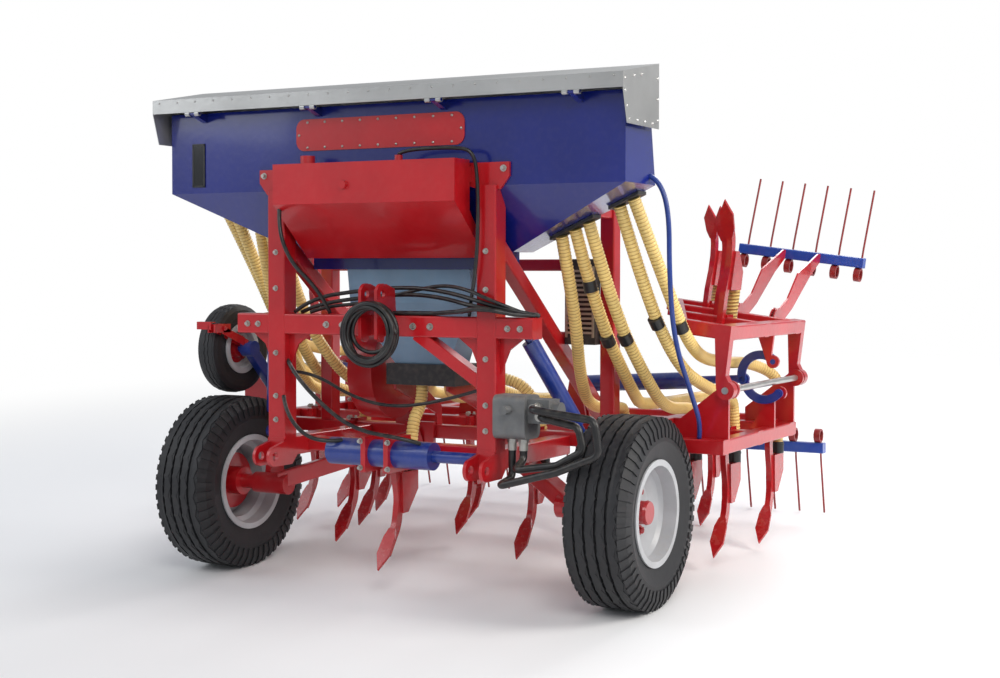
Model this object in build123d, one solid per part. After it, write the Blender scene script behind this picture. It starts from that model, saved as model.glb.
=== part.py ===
from build123d import *
import os
from math import asin, atan2, cos, degrees, hypot, radians, sin

# A mounted pneumatic seed drill on a folding tine cultivator frame, at its real size in millimetres.
# Places are first given for the machine standing level: X to the right, the tractor towards -Y, Z up,
# with the origin on the ground midway between the two carrying wheels. At the end the whole machine
# is leant back onto its rear tines, as it parks, and moved over the middle of its own outline.

# Carrying wheels: 10.0/75-15.3 implement tyres on dished rims.
wheel_x = 988
tyre_radius = 380
tyre_width = 264
rim_radius = 197
rim_flange = 14
rim_width = 220
rim_wall = 7
bead_seat = 3.2
dish_depth = 40
hub_radius = 46
hub_disc_radius = 124
stub_radius = 32
stub_inner_x = 700
groove_width = 11
groove_depth = 12
wheel_bolt_circle = 81
wheel_bolt_radius = 11

# Square tube sizes and their rounded corners.
beam_size = 60
rail_size = 80
post_width = 86
tube_corner = 7
touch = 0.3

# Centre frame: four cross beams at one height, tied by rails.
beam_z = 608
front_beam_y = 380
second_beam_y = 800
third_beam_y = 1220
rear_beam_y = 1560
rear_beam_half_length = 960
inner_rail_x = 640

# Wing hinge, and how far each wing opens to lie level with the centre frame.
hinge_x = 1245
hinge_z = 841
fold_angle = 173
end_gap = 6
beam_half_length = hinge_x - end_gap
side_rail_x = beam_half_length - beam_size / 2
hinge_rod_radius = 14
hinge_rod_front_y = 345
hinge_rod_rear_y = 1325

# Headstock for a category 3 three-point hitch.
lower_hitch_half = 505
lower_pin_y = -368
lower_pin_z = 552
lower_pin_radius = 18.3
top_pin_y = -330
top_pin_z = 1230
top_pin_radius = 16
post_y = -262
post_top_z = 1656
head_beam_half = 709
head_beam_low_z = 1060
head_beam_high_z = 1144
head_rail_z = 585
cross_tube_y = -102

# Tines: spring-steel legs at one pitch, each clamped on a beam's front face.
tine_pitch = 182
tine_tip_z = 100
tine_thickness = 25
tine_depth = 40
tine_tip_ahead = 172
point_width = 62
point_length = 190
point_thickness = 12
boot_width = 44
hose_radius = 26
hose_bend = 72
foot_bend = 45

# Seed hopper with its sheet lid.
hopper_half_width = 1086
hopper_front_y = -278
hopper_rim_z = 1998
hopper_fold_z = 1656
hopper_bottom_z = 1400
hopper_wall = 5
lid_overhang = 30
lid_front_y = -366
lid_rear_y = -36
lid_front_z = 2054
lid_rise = 66
lid_wall = 3

# Harrow bars behind the tines.
harrow_bar = 50
centre_harrow_y = 1730
centre_harrow_z = 470
centre_harrow_half = 1235
wing_harrow_y = 1890
harrow_tine_radius = 5
coil_radius = 34
coil_width = 30


def bar(start, end, width, height, corner=tube_corner, up=(0, 0, 1)):
    """A tube between two points, its height along up."""
    run = Vector(*end) - Vector(*start)
    seat = Plane(origin=start, x_dir=Vector(*up).cross(run), z_dir=run)
    return extrude(seat * RectangleRounded(width, height, corner), run.length)


def rod(start, end, radius):
    run = Vector(*end) - Vector(*start)
    return extrude(Plane(origin=start, z_dir=run) * Circle(radius), run.length)


def side_plane(x):
    """Sketch plane facing along X: its first axis is Y, its second Z."""
    return Plane(origin=(x, 0, 0), x_dir=(0, 1, 0), z_dir=(1, 0, 0))


def front_plane(y):
    """Sketch plane facing forward: its first axis is X, its second Z."""
    return Plane(origin=(0, y, 0), x_dir=(1, 0, 0), z_dir=(0, -1, 0))


def outline(points):
    return make_face(Polyline(*points, close=True))


def plate(plane, points, thickness):
    """A flat plate from an outline, half its thickness each side of the plane."""
    return extrude(plane * outline(points), thickness / 2, both=True)


def fuse(pieces):
    whole = pieces[0]
    for piece in pieces[1:]:
        whole = whole + piece
    return whole


def mirrored(shape):
    return mirror(shape, about=Plane.YZ)


def both_sides(shape):
    return [shape, mirrored(shape)]


# Wheels

def tyre(radius, width, bead, grooves):
    """A tyre as one ring, with its tread's straight grooves; the section is (across, radius)."""
    half = width / 2
    section = [
        (-half * 0.78, bead), (-half * 0.93, bead + 0.16 * radius), (-half, radius * 0.74),
        (-half * 0.97, radius * 0.88), (-half * 0.84, radius * 0.975), (-half * 0.5, radius),
    ]
    section = section + [(-across, height) for across, height in reversed(section)]
    ring = revolve(Plane.XY * outline(section), Axis.X)
    for across in grooves:
        low = radius - groove_depth
        cut = [(across - groove_width / 2, low), (across + groove_width / 2, low),
               (across + groove_width / 2, radius + 5), (across - groove_width / 2, radius + 5)]
        ring = ring - revolve(Plane.XY * outline(cut), Axis.X)
    return ring


def rim(seat, width, disc_hole, dish):
    """A drop-centre rim and its dished disc, revolved as one; the outer side is +X."""
    half = width / 2
    outer = [
        (-half, seat + rim_flange), (-half, seat - 3), (-half * 0.55, seat - 6),
        (-half * 0.4, seat - 26), (half * 0.4, seat - 26), (half * 0.55, seat - 6),
        (half, seat - 3), (half, seat + rim_flange),
    ]
    inner = [
        (half + rim_wall, seat + rim_flange), (half + rim_wall, seat - 3 - rim_wall),
        (half * 0.55, seat - 8 - rim_wall), (half * 0.4, seat - 27 - rim_wall),
        (dish + rim_wall, seat - 27 - rim_wall), (dish * 0.4 + rim_wall, seat * 0.6),
        (dish * 0.4 + rim_wall, disc_hole), (dish * 0.4, disc_hole),
        (dish * 0.4, seat * 0.6), (dish, seat - 27 - rim_wall),
        (-half * 0.4, seat - 27 - rim_wall), (-half * 0.55, seat - 8 - rim_wall),
        (-half - rim_wall, seat - 3 - rim_wall), (-half - rim_wall, seat + rim_flange),
    ]
    return revolve(Plane.XY * outline(outer + inner), Axis.X)


def hub():
    """Bearing hub on the disc's inner face, with its cap and nuts outside."""
    disc_x = dish_depth * 0.4
    body = rod((-70, 0, 0), (disc_x, 0, 0), 62)
    body += rod((disc_x - 26, 0, 0), (disc_x - touch, 0, 0), hub_disc_radius)
    body += rod((disc_x, 0, 0), (disc_x + 62, 0, 0), hub_radius)
    for step in range(5):
        angle = radians(72 * step)
        y = wheel_bolt_circle * cos(angle)
        z = wheel_bolt_circle * sin(angle)
        body += rod((disc_x - 10, y, z), (disc_x + rim_wall + 16, y, z), wheel_bolt_radius)
    return body - rod((-90, 0, 0), (disc_x + 30, 0, 0), stub_radius + touch)


def wheel_disc_holes(wheel):
    for step in range(5):
        angle = radians(72 * step)
        y = wheel_bolt_circle * cos(angle)
        z = wheel_bolt_circle * sin(angle)
        wheel -= rod((-60, y, z), (60, y, z), wheel_bolt_radius + touch)
    return wheel


wheel_place = Pos(wheel_x, 0, tyre_radius)
groove_places = (-66, -23, 23, 66)
carrying_tyre = wheel_place * tyre(tyre_radius, tyre_width, rim_radius - bead_seat, groove_places)
carrying_rim = wheel_place * wheel_disc_holes(rim(rim_radius, rim_width, hub_radius + touch, dish_depth))
carrying_hub = wheel_place * hub()


# Centre frame

def centre_frame():
    """Cross beams, rails and the corner plates that carry the wing hinges."""
    beams = [
        # y, half length
        (front_beam_y, beam_half_length),
        (second_beam_y, beam_half_length),
        (third_beam_y, beam_half_length),
        (rear_beam_y, rear_beam_half_length),
    ]
    pieces = [bar((-half, y, beam_z), (half, y, beam_z), beam_size, beam_size) for y, half in beams]
    for x in (-side_rail_x, side_rail_x):
        pieces.append(bar((x, front_beam_y - 30, beam_z), (x, third_beam_y + 60, beam_z), beam_size, beam_size))
    for x in (-inner_rail_x, inner_rail_x):
        pieces.append(bar((x, front_beam_y, beam_z), (x, rear_beam_y, beam_z), beam_size, beam_size))
    return fuse(pieces)


# The frame's ears stand just inside the wing's posts at both ends of the hinge rod.
ear_ys = (front_beam_y + 35, third_beam_y + 30)
wing_post_ys = (front_beam_y - 8, third_beam_y + 72)
wing_post_depth = 44
fork_y = 940
fork_step = 18
frame_pin = (hinge_x + 20, 790)
wing_pin = (hinge_x + 15, 932)
ram_pin = (hinge_x - 137, 850)
fold_pin_radius = 12


def hinge_ears():
    """Corner plates at the frame's ends, bored for the hinge rod, right side."""
    ears = []
    for ear_y in ear_ys:
        shape = outline([(hinge_x - 240, beam_z + 20), (beam_half_length, beam_z + 20),
                         (beam_half_length, hinge_z - 20), (hinge_x - 30, hinge_z + 20), (hinge_x - 240, beam_z + 90)])
        shape += Pos(hinge_x, hinge_z) * Circle(38)
        shape -= Pos(hinge_x, hinge_z) * Circle(hinge_rod_radius + touch)
        ears.append(extrude(front_plane(ear_y) * shape, 8, both=True))
    return ears


def middle_ear():
    """The middle post's lower half, on its own rail, which carries the frame link's pin."""
    y = fork_y + 2 * fork_step + 8
    shape = outline([(hinge_x - 120, beam_z + 20), (beam_half_length, beam_z + 20),
                     (beam_half_length, frame_pin[1] - 30), (frame_pin[0] - 26, frame_pin[1] + 14),
                     (frame_pin[0] - 34, frame_pin[1])])
    shape += Pos(*frame_pin) * Circle(28)
    shape -= Pos(*frame_pin) * Circle(fold_pin_radius + touch)
    return extrude(front_plane(y) * shape, 8, both=True)


ram_base_x = 285


def ram_base():
    """Fork plates and pin that hold the cylinder's foot, standing on the second and third beams' tie."""
    pieces = [rod((ram_base_x, fork_y - 32, 800), (ram_base_x, fork_y + 32, 800), fold_pin_radius)]
    for side in (-1, 1):
        shape = outline([(ram_base_x - 60, beam_z + 28), (ram_base_x + 60, beam_z + 28), (ram_base_x + 30, 800),
                         (ram_base_x - 30, 800)])
        shape += Pos(ram_base_x, 800) * Circle(30)
        pieces.append(extrude(front_plane(fork_y + side * 20) * shape, 7, both=True))
    pieces.append(bar((ram_base_x, second_beam_y + 20, beam_z), (ram_base_x, third_beam_y - 20, beam_z), 60, 60))
    return pieces


def centre_harrow_arms():
    arms = []
    for x in (-560, 560):
        shape = outline([(rear_beam_y + 30, beam_z + 26), (rear_beam_y + 30, beam_z - 26),
                         (centre_harrow_y - 40, centre_harrow_z - 30), (centre_harrow_y - 25, centre_harrow_z - 30),
                         (centre_harrow_y - 25, centre_harrow_z + 30), (rear_beam_y + 80, beam_z + 26)])
        arms.append(extrude(side_plane(x) * shape, 8, both=True))
    return arms


frame_pieces = [centre_frame()] + centre_harrow_arms()
for ear in hinge_ears() + [middle_ear()] + ram_base():
    frame_pieces += both_sides(ear)
main_frame = fuse(frame_pieces)


def hinge_rod():
    """The long pin through both ears and the wing's posts, right side."""
    return rod((hinge_x, hinge_rod_front_y, hinge_z), (hinge_x, hinge_rod_rear_y, hinge_z), hinge_rod_radius)


# Hopper outline, which the posts are cut to

def slab_between(sections, inset):
    """A ruled body through level rectangles (z, half width, front y, rear y), shrunk by inset."""
    shapes = []
    for z, half, front, rear in sections:
        seat = Plane(origin=(0, (front + rear) / 2, z))
        shapes.append(seat * Rectangle(2 * (half - inset), rear - front - 2 * inset))
    return loft(shapes, ruled=True)


hopper_sections = [
    # z, half width, front y, rear y
    (hopper_bottom_z, 520, -112, 58),
    (hopper_fold_z, hopper_half_width, hopper_front_y, 0),
    (hopper_rim_z, hopper_half_width, hopper_front_y, -58),
]
hopper_inside = [
    (hopper_bottom_z + hopper_wall, 520, -112, 58),
    (hopper_fold_z, hopper_half_width, hopper_front_y, 0),
    (hopper_rim_z + 2, hopper_half_width, hopper_front_y, -58),
]


# Headstock

wheel_ram_foot = (790, 50, tyre_radius + 200)
wheel_ram_top = (600, -182, 1100)


def headstock():
    """Posts, cross beam, gussets, lower rails with hitch ears, and the rear braces."""
    posts = []
    for side in (-1, 1):
        x = side * lower_hitch_half
        rail_top = head_rail_z + rail_size / 2
        posts.append(bar((x, post_y, rail_top - 5), (x, post_y, post_top_z), post_width, post_width, up=(0, 1, 0)))
        posts.append(bar((x, post_y - 45, head_rail_z), (x, front_beam_y - beam_size / 2, head_rail_z),
                         rail_size, rail_size))
        posts.append(bar((x, post_y + 30, 1430), (x, second_beam_y, beam_z + 25), beam_size, beam_size, up=(0, 1, 0)))
        for ear in (-36, 36):
            shape = outline([(post_y - 30, lower_pin_z + 60), (lower_pin_y, lower_pin_z + 42),
                             (lower_pin_y, lower_pin_z - 42), (post_y + 10, lower_pin_z - 42),
                             (post_y + 60, lower_pin_z + 10)])
            shape += Pos(lower_pin_y, lower_pin_z) * Circle(42)
            shape -= Pos(lower_pin_y, lower_pin_z) * Circle(lower_pin_radius)
            posts.append(extrude(side_plane(x + ear) * shape, 7, both=True))
        ram_seat = Pos(side * wheel_ram_top[0], (wheel_ram_top[1] - 30 - touch + post_y + 38) / 2, wheel_ram_top[2])
        posts.append(ram_seat * Box(60, wheel_ram_top[1] - 30 - touch - post_y - 38, 70))
    beam_mid = (head_beam_low_z + head_beam_high_z) / 2
    beam_height = head_beam_high_z - head_beam_low_z
    posts.append(bar((-head_beam_half, post_y, beam_mid), (head_beam_half, post_y, beam_mid),
                     post_width - 6, beam_height))
    for side in (-1, 1):
        for way in (-1, 1):
            inner = side * lower_hitch_half + way * (post_width / 2 - 3)
            far = inner + way * 110
            corner = outline([(inner, head_beam_low_z + 3), (far, head_beam_low_z + 3),
                              (inner + way * 45, head_beam_low_z - 45), (inner, head_beam_low_z - 150)])
            posts.append(extrude(front_plane(post_y) * corner, 5, both=True))
    posts.append(bar((175, post_y, head_beam_low_z + 10), (lower_hitch_half - 20, post_y, 875), 50, 66, up=(0, 1, 0)))
    posts.append(bar((-lower_hitch_half, cross_tube_y, head_rail_z), (lower_hitch_half, cross_tube_y, head_rail_z),
                     beam_size, beam_size))
    return fuse(posts) - main_frame - slab_between(hopper_sections, -touch)


def top_link_bracket():
    """Two plates on the head beam, rounded at the foot, bored for the top link pin."""
    plates = []
    for x in (-38, 38):
        shape = outline([(post_y - 40, head_beam_high_z + 106), (top_pin_y - 42, top_pin_z + 18),
                         (top_pin_y - 42, head_beam_low_z - 10), (post_y - 40, head_beam_low_z + 2)])
        shape += Pos(top_pin_y, top_pin_z) * Circle(42)
        shape += Pos((top_pin_y - 42 + post_y - 40) / 2, head_beam_low_z - 4) * Circle(20)
        shape += outline([(post_y - 41, head_beam_high_z), (post_y - 41, top_pin_z + 40),
                          (post_y + 20, top_pin_z + 20), (post_y + 30, head_beam_high_z)])
        shape -= Pos(top_pin_y, top_pin_z) * Circle(top_pin_radius)
        plates.append(extrude(side_plane(x) * shape, 7, both=True))
    return plates


# Carrying wheel arms

arm_start = (stub_inner_x + 20, 0, tyre_radius + 14)
arm_end = (200, front_beam_y - beam_size / 2 - 2, beam_z - 20)


def wheel_arm():
    """Stub axle, and the square arm running back to the front beam, right side."""
    stub = rod((stub_inner_x, 0, tyre_radius), (wheel_x + dish_depth * 0.4 + 28, 0, tyre_radius), stub_radius)
    sleeve = rod((stub_inner_x - 30, 0, tyre_radius), (wheel_x - 140, 0, tyre_radius), 46)
    arm = bar(arm_start, arm_end, 72, 72)
    foot = Pos(arm_end[0], arm_end[1] - 8, beam_z - 6) * Box(150, 20, 100)
    lug = extrude(side_plane(wheel_ram_foot[0]) * outline([(0, tyre_radius + 20), (110, tyre_radius + 20),
                                                           (75, wheel_ram_foot[2]), (25, wheel_ram_foot[2])]),
                  14, both=True)
    body = stub + sleeve + arm + foot + lug
    return body - head_block - main_frame


head_block = headstock()


def wheel_ram():
    """The depth cylinder from the head beam down to the wheel arm's lug, right side."""
    foot = Vector(*wheel_ram_foot) + Vector(0, 0, 26 + touch)
    run = Vector(*wheel_ram_top) - foot
    step = run.normalized()
    body = rod(foot + step * 20, foot + step * 130, 20) + rod(foot + step * 120, foot + step * (run.length - 62), 34)
    body += rod(foot + step * (run.length - 64), foot + step * (run.length - 20), 16)
    body += rod(foot - Vector(26, 0, 0), foot + Vector(26, 0, 0), 26)
    top = Vector(*wheel_ram_top)
    return body + rod(top - Vector(26, 0, 0), top + Vector(26, 0, 0), 30)


# Hopper

lid_hinge_y = lid_front_y + 8
lid_hinge_z = hopper_rim_z - 8
lid_pin_radius = 6
lid_hinge_xs = (-900, -300, 300, 900)
lid_half = hopper_half_width + lid_overhang


def hopper():
    """The folded-sheet bin, open at the top, with its outlet trough and the lid's hinge lugs."""
    shell = slab_between(hopper_sections, 0) - slab_between(hopper_inside, hopper_wall)
    trough = Pos(0, -27, hopper_bottom_z - 35) * Box(2 * 470, 120, 70)
    shell = shell + trough
    for x in lid_hinge_xs:
        lug = outline([(hopper_front_y + 3, lid_hinge_z - 34), (hopper_front_y + 3, lid_hinge_z + 2),
                       (lid_hinge_y, lid_hinge_z + lid_pin_radius), (lid_hinge_y, lid_hinge_z - lid_pin_radius)])
        shell += extrude(side_plane(x) * lug, 12, both=True)
        shell += rod((x - 36, lid_hinge_y, lid_hinge_z), (x + 36, lid_hinge_y, lid_hinge_z), lid_pin_radius)
    return shell


def lid():
    """A sheet cover: front flange, rising top, rear flange and deep cheeks at the ends."""
    top = hopper_rim_z + 20
    side = [(lid_front_y, hopper_rim_z - 2), (lid_front_y, lid_front_z), (lid_rear_y, lid_front_z + lid_rise),
            (lid_rear_y, hopper_rim_z - 60)]
    inner = [(lid_front_y + lid_wall, hopper_rim_z - 10), (lid_front_y + lid_wall, lid_front_z - lid_wall),
             (lid_rear_y - lid_wall, lid_front_z + lid_rise - lid_wall), (lid_rear_y - lid_wall, hopper_rim_z - 70)]
    shell = extrude(side_plane(0) * outline(side), lid_half, both=True)
    shell -= extrude(side_plane(0) * outline(inner), lid_half - lid_wall, both=True)
    cheek = [(lid_front_y, top), (lid_front_y, hopper_rim_z - 2), (lid_front_y + 38, hopper_rim_z - 130),
             (lid_rear_y, hopper_rim_z - 130), (lid_rear_y, top)]
    for side_sign in (-1, 1):
        x = side_sign * (lid_half - lid_wall / 2)
        shell += plate(side_plane(x), cheek, lid_wall)
    for x in lid_hinge_xs:
        for side_sign in (-1, 1):
            middle = x + side_sign * 25
            knuckle = rod((middle - 11, lid_hinge_y, lid_hinge_z), (middle + 11, lid_hinge_y, lid_hinge_z), 11)
            leaf = Pos(middle, lid_front_y + lid_wall + 1, lid_hinge_z + 16) * Box(22, 4, 32)
            shell += knuckle + leaf
        shell -= rod((x - 40, lid_hinge_y, lid_hinge_z), (x + 40, lid_hinge_y, lid_hinge_z), lid_pin_radius + touch)
    return shell


def hopper_stand():
    """Rear posts on the front beam, cross bars, and brackets reaching to the hopper's rear wall."""
    stand = []
    foot = beam_z + beam_size / 2
    for side in (-1, 1):
        x = side * 717
        stand.append(bar((x, front_beam_y, foot), (x, front_beam_y, 1590), 66, 66, up=(0, 1, 0)))
        stand.append(bar((x, front_beam_y - 30, 1575), (x, 4, 1575), 50, 60))
        stand.append(Pos(x, 24, 1580) * Box(140, 24, 90))
    stand.append(bar((-717, front_beam_y, 1350), (717, front_beam_y, 1350), 50, 50))
    stand.append(bar((420, front_beam_y, 1040), (717, front_beam_y, 1040), 50, 50))
    return fuse(stand) - slab_between(hopper_sections, -touch)


def oil_tank():
    """The folded-sheet reservoir across the headstock, its back along the hopper's slope."""
    side = [(-420, 1756), (-420, 1592), (-182, 1376), (-150, 1376), (-305, 1560), (-305, 1756)]
    body = extrude(side_plane(0) * outline(side), 432, both=True)
    body += rod((-300, -360, 1755), (-300, -360, 1790), 30)
    body += rod((140, -360, 1755), (140, -360, 1780), 16)
    body += rod((-80, -419, 1665), (-80, -434, 1665), 16)
    for side in (-1, 1):
        body += Pos(side * 414, -297.5, 1700) * Box(34, 15, 60)
    return body


def post_heads():
    """Bolted plates that hold the hopper's front to the two posts."""
    heads = []
    for side in (-1, 1):
        shape = outline([(side * 395, 1745), (side * 600, 1745), (side * 600, 1690),
                         (side * 560, 1640), (side * 470, 1640), (side * 395, 1660)])
        heads.append(extrude(front_plane(hopper_front_y - 6) * shape, 6 - touch, both=True) - head_block)
    return heads


# Metering, fan, cooler and hydraulics

def metering_funnel():
    sections = [
        (930, 130, 30, 210),
        (1190, 300, -60, 60),
        (hopper_bottom_z - 70, 300, -80, 30),
    ]
    return slab_between(sections, 0)


def injector_box():
    """The seed distributor right under the funnel."""
    return Pos(0, 120, 885 - touch) * Box(340, 200, 90)


def distributor_stand():
    """Two folded plates on the front beam that carry the distributor."""
    plates = []
    for x in (-130, 130):
        shape = outline([(front_beam_y - 22, beam_z + 30), (front_beam_y + 22, beam_z + 30),
                         (front_beam_y + 22, 720), (215, 840 - 2 * touch), (25, 840 - 2 * touch), (25, 820),
                         (190, 760), (front_beam_y - 22, 690)])
        plates.append(extrude(side_plane(x) * shape, 5, both=True))
    return plates


def fan_housing():
    """The blower's scroll, its axis across the machine, standing on the front beam."""
    drum = rod((-362, 210, 880), (-238, 210, 880), 205)
    outlet = Pos(-300, 330, 1000) * Box(110, 150, 130)
    inlet = rod((-361, 210, 880), (-376, 210, 880), 90)
    foot = Pos(-300, front_beam_y, (beam_z + beam_size / 2 + 742) / 2) * Box(80, 50, 742 - beam_z - beam_size / 2)
    return drum + outlet + inlet + foot


def oil_cooler():
    """A finned block bolted to the front of the stand's two cross bars."""
    y = front_beam_y - 25 - touch - 24
    x = lower_hitch_half + 106
    block = Pos(x, y, 1195) * Box(142, 48, 360)
    for row in range(13):
        block -= Pos(x, y - 20, 1195 - 120 + row * 20) * Box(118, 24, 9)
    return block


def pump_gearbox():
    """The step-up gearbox on the right post with the gear pump on its outer face."""
    x = lower_hitch_half + post_width / 2
    body = Pos(x + 70, post_y, 760) * Box(140, 130, 170)
    body = fillet(body.edges().filter_by(Axis.X), 28)
    body += rod((x + 70, post_y - 60, 790), (x + 70, post_y - 110, 790), 17.4)
    body += Pos(x + 185, post_y + 8, 785) * Box(92, 92, 92)
    body += rod((x + 230, post_y + 8, 785), (x + 262, post_y + 8, 785), 36)
    return body


tube_y = -232
tube_z = head_rail_z - 8


def front_tube():
    """The blue cross tube, and its bright end rod, that carries the front tine."""
    return [rod((-270, tube_y, tube_z), (225, tube_y, tube_z), 56),
            rod((225 + touch, tube_y, tube_z), (lower_hitch_half - post_width / 2 - touch, tube_y, tube_z), 24)]


def tube_saddles():
    """Bolted saddles that clamp the blue tube to the headstock's cross tube."""
    saddles = []
    for x in (-70, 40):
        rear = cross_tube_y - beam_size / 2
        shape = outline([(tube_y - 72, tube_z - 72), (rear - touch, tube_z - 72), (rear - touch, tube_z + 72),
                         (tube_y - 72, tube_z + 72)])
        shape -= Pos(tube_y, tube_z) * Circle(56 + touch)
        saddles.append(extrude(side_plane(x) * shape, 11, both=True))
    return saddles


# Tines

def tine(x, beam_y, mount_z=beam_z, drop=0):
    """Leg, clamp, point and seed boot on a beam's front face, hanging down."""
    front = beam_y - beam_size / 2 - tine_depth / 2
    level = mount_z - drop
    route = [(front, mount_z + 34), (front, level - 95), (front + 30, level - 230),
             (front + 12, level - 335), (front - 66, level - 448)]
    path = FilletPolyline(*[(x, y, z) for y, z in route], radius=[120, 150, 120])
    leg = sweep(Plane(origin=(x, route[0][0], route[0][1]), x_dir=(1, 0, 0), z_dir=(0, 0, -1))
                * Rectangle(tine_thickness, tine_depth), path=path)
    clamp = Pos(x, beam_y, mount_z) * (Box(40, beam_size + 26, beam_size + 26) - Box(60, beam_size, beam_size))
    clamp -= Pos(x, front, mount_z) * Box(60, tine_depth, 200)
    tip = Vector(x, beam_y - tine_tip_ahead, tine_tip_z + mount_z - beam_z - drop)
    upper = Vector(x, front - 6, level - 345)
    along = (upper - tip).normalized()
    seat = Plane(origin=tip, x_dir=(1, 0, 0), z_dir=Vector(1, 0, 0).cross(along))
    half = point_width / 2
    shape = outline([(0, 0), (half, point_length * 0.38), (half * 0.9, point_length * 0.78),
                     (half * 0.5, point_length), (-half * 0.5, point_length),
                     (-half * 0.9, point_length * 0.78), (-half, point_length * 0.38)])
    point = extrude(seat * shape, point_thickness)
    socket_y = beam_y + beam_size / 2 + hose_radius + 16
    boot = extrude(side_plane(x) * outline([(front + 22, level - 120), (socket_y + 24, level - 120),
                                            (socket_y + 24, level - 200), (front + 70, level - 290),
                                            (front + 30, level - 290)]), boot_width / 2, both=True)
    return leg + clamp + point + boot


def seed_stub(x, beam_y, top_z, drop=0):
    """The seed hose's last straight run, standing in the boot behind the beam."""
    socket_y = beam_y + beam_size / 2 + hose_radius + 16
    return rod((x, socket_y, beam_z - 119.7 - drop), (x, socket_y, top_z), hose_radius)


rows = {"front": front_beam_y, "second": second_beam_y, "third": third_beam_y, "rear": rear_beam_y}
centre_tines = [
    # pitches from the middle, row
    (-6.3, "third"), (-6, "second"), (-5, "third"), (-4, "second"), (-3.1, "front"), (-2, "third"),
    (-1, "second"), (1, "third"), (2, "front"), (3.1, "second"), (4, "rear"), (5, "second"), (6, "second"),
    (6.3, "third"),
]
wing_tines = [
    # x when folded out flat, measured from the hinge, row, extra reach
    (205, "second", 30), (385, "third", 0), (575, "rear", 0),
]


def centre_tine_set():
    return [tine(step * tine_pitch, rows[row]) - main_frame for step, row in centre_tines]


def front_tine():
    """The tine under the blue tube, on the headstock's cross tube."""
    return tine(-14, cross_tube_y, head_rail_z, head_rail_z - beam_z)


# Seed hoses, one to each tine, and the plates they leave the hopper's slope through

distributor_rear_y = 220.2
boot_top_z = beam_z - 119.7
plate_places = [(655, 845), (912, 1040)]


def slope_z(x):
    """Height of the hopper's slanting underside."""
    rise = (hopper_fold_z - hopper_bottom_z) / (hopper_half_width - 520)
    return hopper_bottom_z + (abs(x) - 520) * rise


def hose_plates():
    plates = []
    for low, high in plate_places:
        shape = outline([(low, slope_z(low) - 1), (high, slope_z(high) - 1), (high, slope_z(high) - 14),
                         (low, slope_z(low) - 14)])
        plates.append(Pos(0, -20, 0) * extrude(front_plane(0) * shape, 38, both=True) - slab_between(hopper_sections, 0))
    return plates


hose_runs = [
    # foot x, row, points from the top down to where the run turns along to its boot
    (-14, "cross", [(-14, 60, 839.4), (-14, 60, 790), (-14, -36, 690)]),
    (-182, "second", [(-40, distributor_rear_y, 885), (-40, 300, 885), (-182, 520, 740), (-182, 866, 715)]),
    (-364, "third", [(-120, distributor_rear_y, 885), (-120, 330, 885), (-364, 620, 715), (-364, 1286, 700)]),
    (182, "third", [(40, distributor_rear_y, 885), (40, 300, 885), (182, 560, 720), (182, 1286, 700)]),
    (364, "front", [(120, distributor_rear_y, 885), (120, 300, 885), (364, 446, 790)]),
    (3.1 * tine_pitch, "second", [(690, -20, 0), (690, 120, 1150), (605, 320, 860), (564, 480, 715), (564, 866, 700)]),
    (728, "rear", [(750, -20, 0), (775, 120, 1150), (806, 430, 790), (728, 680, 705), (728, 1626, 700)]),
    (910, "second", [(810, -20, 0), (855, 120, 1150), (905, 330, 870), (910, 500, 720), (910, 866, 700)]),
    (1092, "second", [(944, -20, 0), (1000, 120, 1200), (1045, 330, 930), (1092, 500, 830), (1092, 866, 750)]),
    (6.3 * tine_pitch, "third", [(1004, -20, 0), (1080, 120, 1260), (1120, 310, 975), (1045, 820, 920),
                                 (1045, 1130, 915), (1147, 1286, 840)]),
    (-3.1 * tine_pitch, "front", [(-690, -20, 0), (-690, 120, 1150), (-620, 300, 860), (-564, 446, 770)]),
    (-728, "second", [(-750, -20, 0), (-785, 120, 1150), (-808, 430, 780), (-728, 640, 715), (-728, 866, 700)]),
    (-910, "third", [(-810, -20, 0), (-850, 120, 1150), (-880, 330, 860), (-910, 540, 715), (-910, 1286, 700)]),
    (-1092, "second", [(-944, -20, 0), (-905, 120, 1260), (-885, 330, 950), (-1092, 620, 840), (-1092, 866, 750)]),
    (-6.3 * tine_pitch, "third", [(-1004, -20, 0), (-955, 120, 1345), (-925, 310, 1000), (-1045, 820, 920),
                                  (-1045, 1130, 915), (-1147, 1286, 840)]),
]


def seed_hose(foot_x, row, points):
    beam_y = cross_tube_y if row == "cross" else rows[row]
    foot = (foot_x, beam_y + beam_size / 2 + hose_radius + 16, boot_top_z)
    top = points[0]
    start = (top[0], top[1], top[2] or slope_z(top[0]) - 13)
    last = (foot_x, foot[1], points[-1][2])
    bends = [hose_bend] * (len(points) - 2) + [foot_bend]
    path = FilletPolyline(start, *points[1:-1], last, foot, radius=bends)
    hose = sweep(Plane(origin=start, z_dir=path % 0) * Circle(hose_radius), path=path)
    cut = hose - whole_plates - slab_between(hopper_sections, -1)
    return max(cut.solids(), key=lambda solid: solid.volume)


# Harrows

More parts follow.
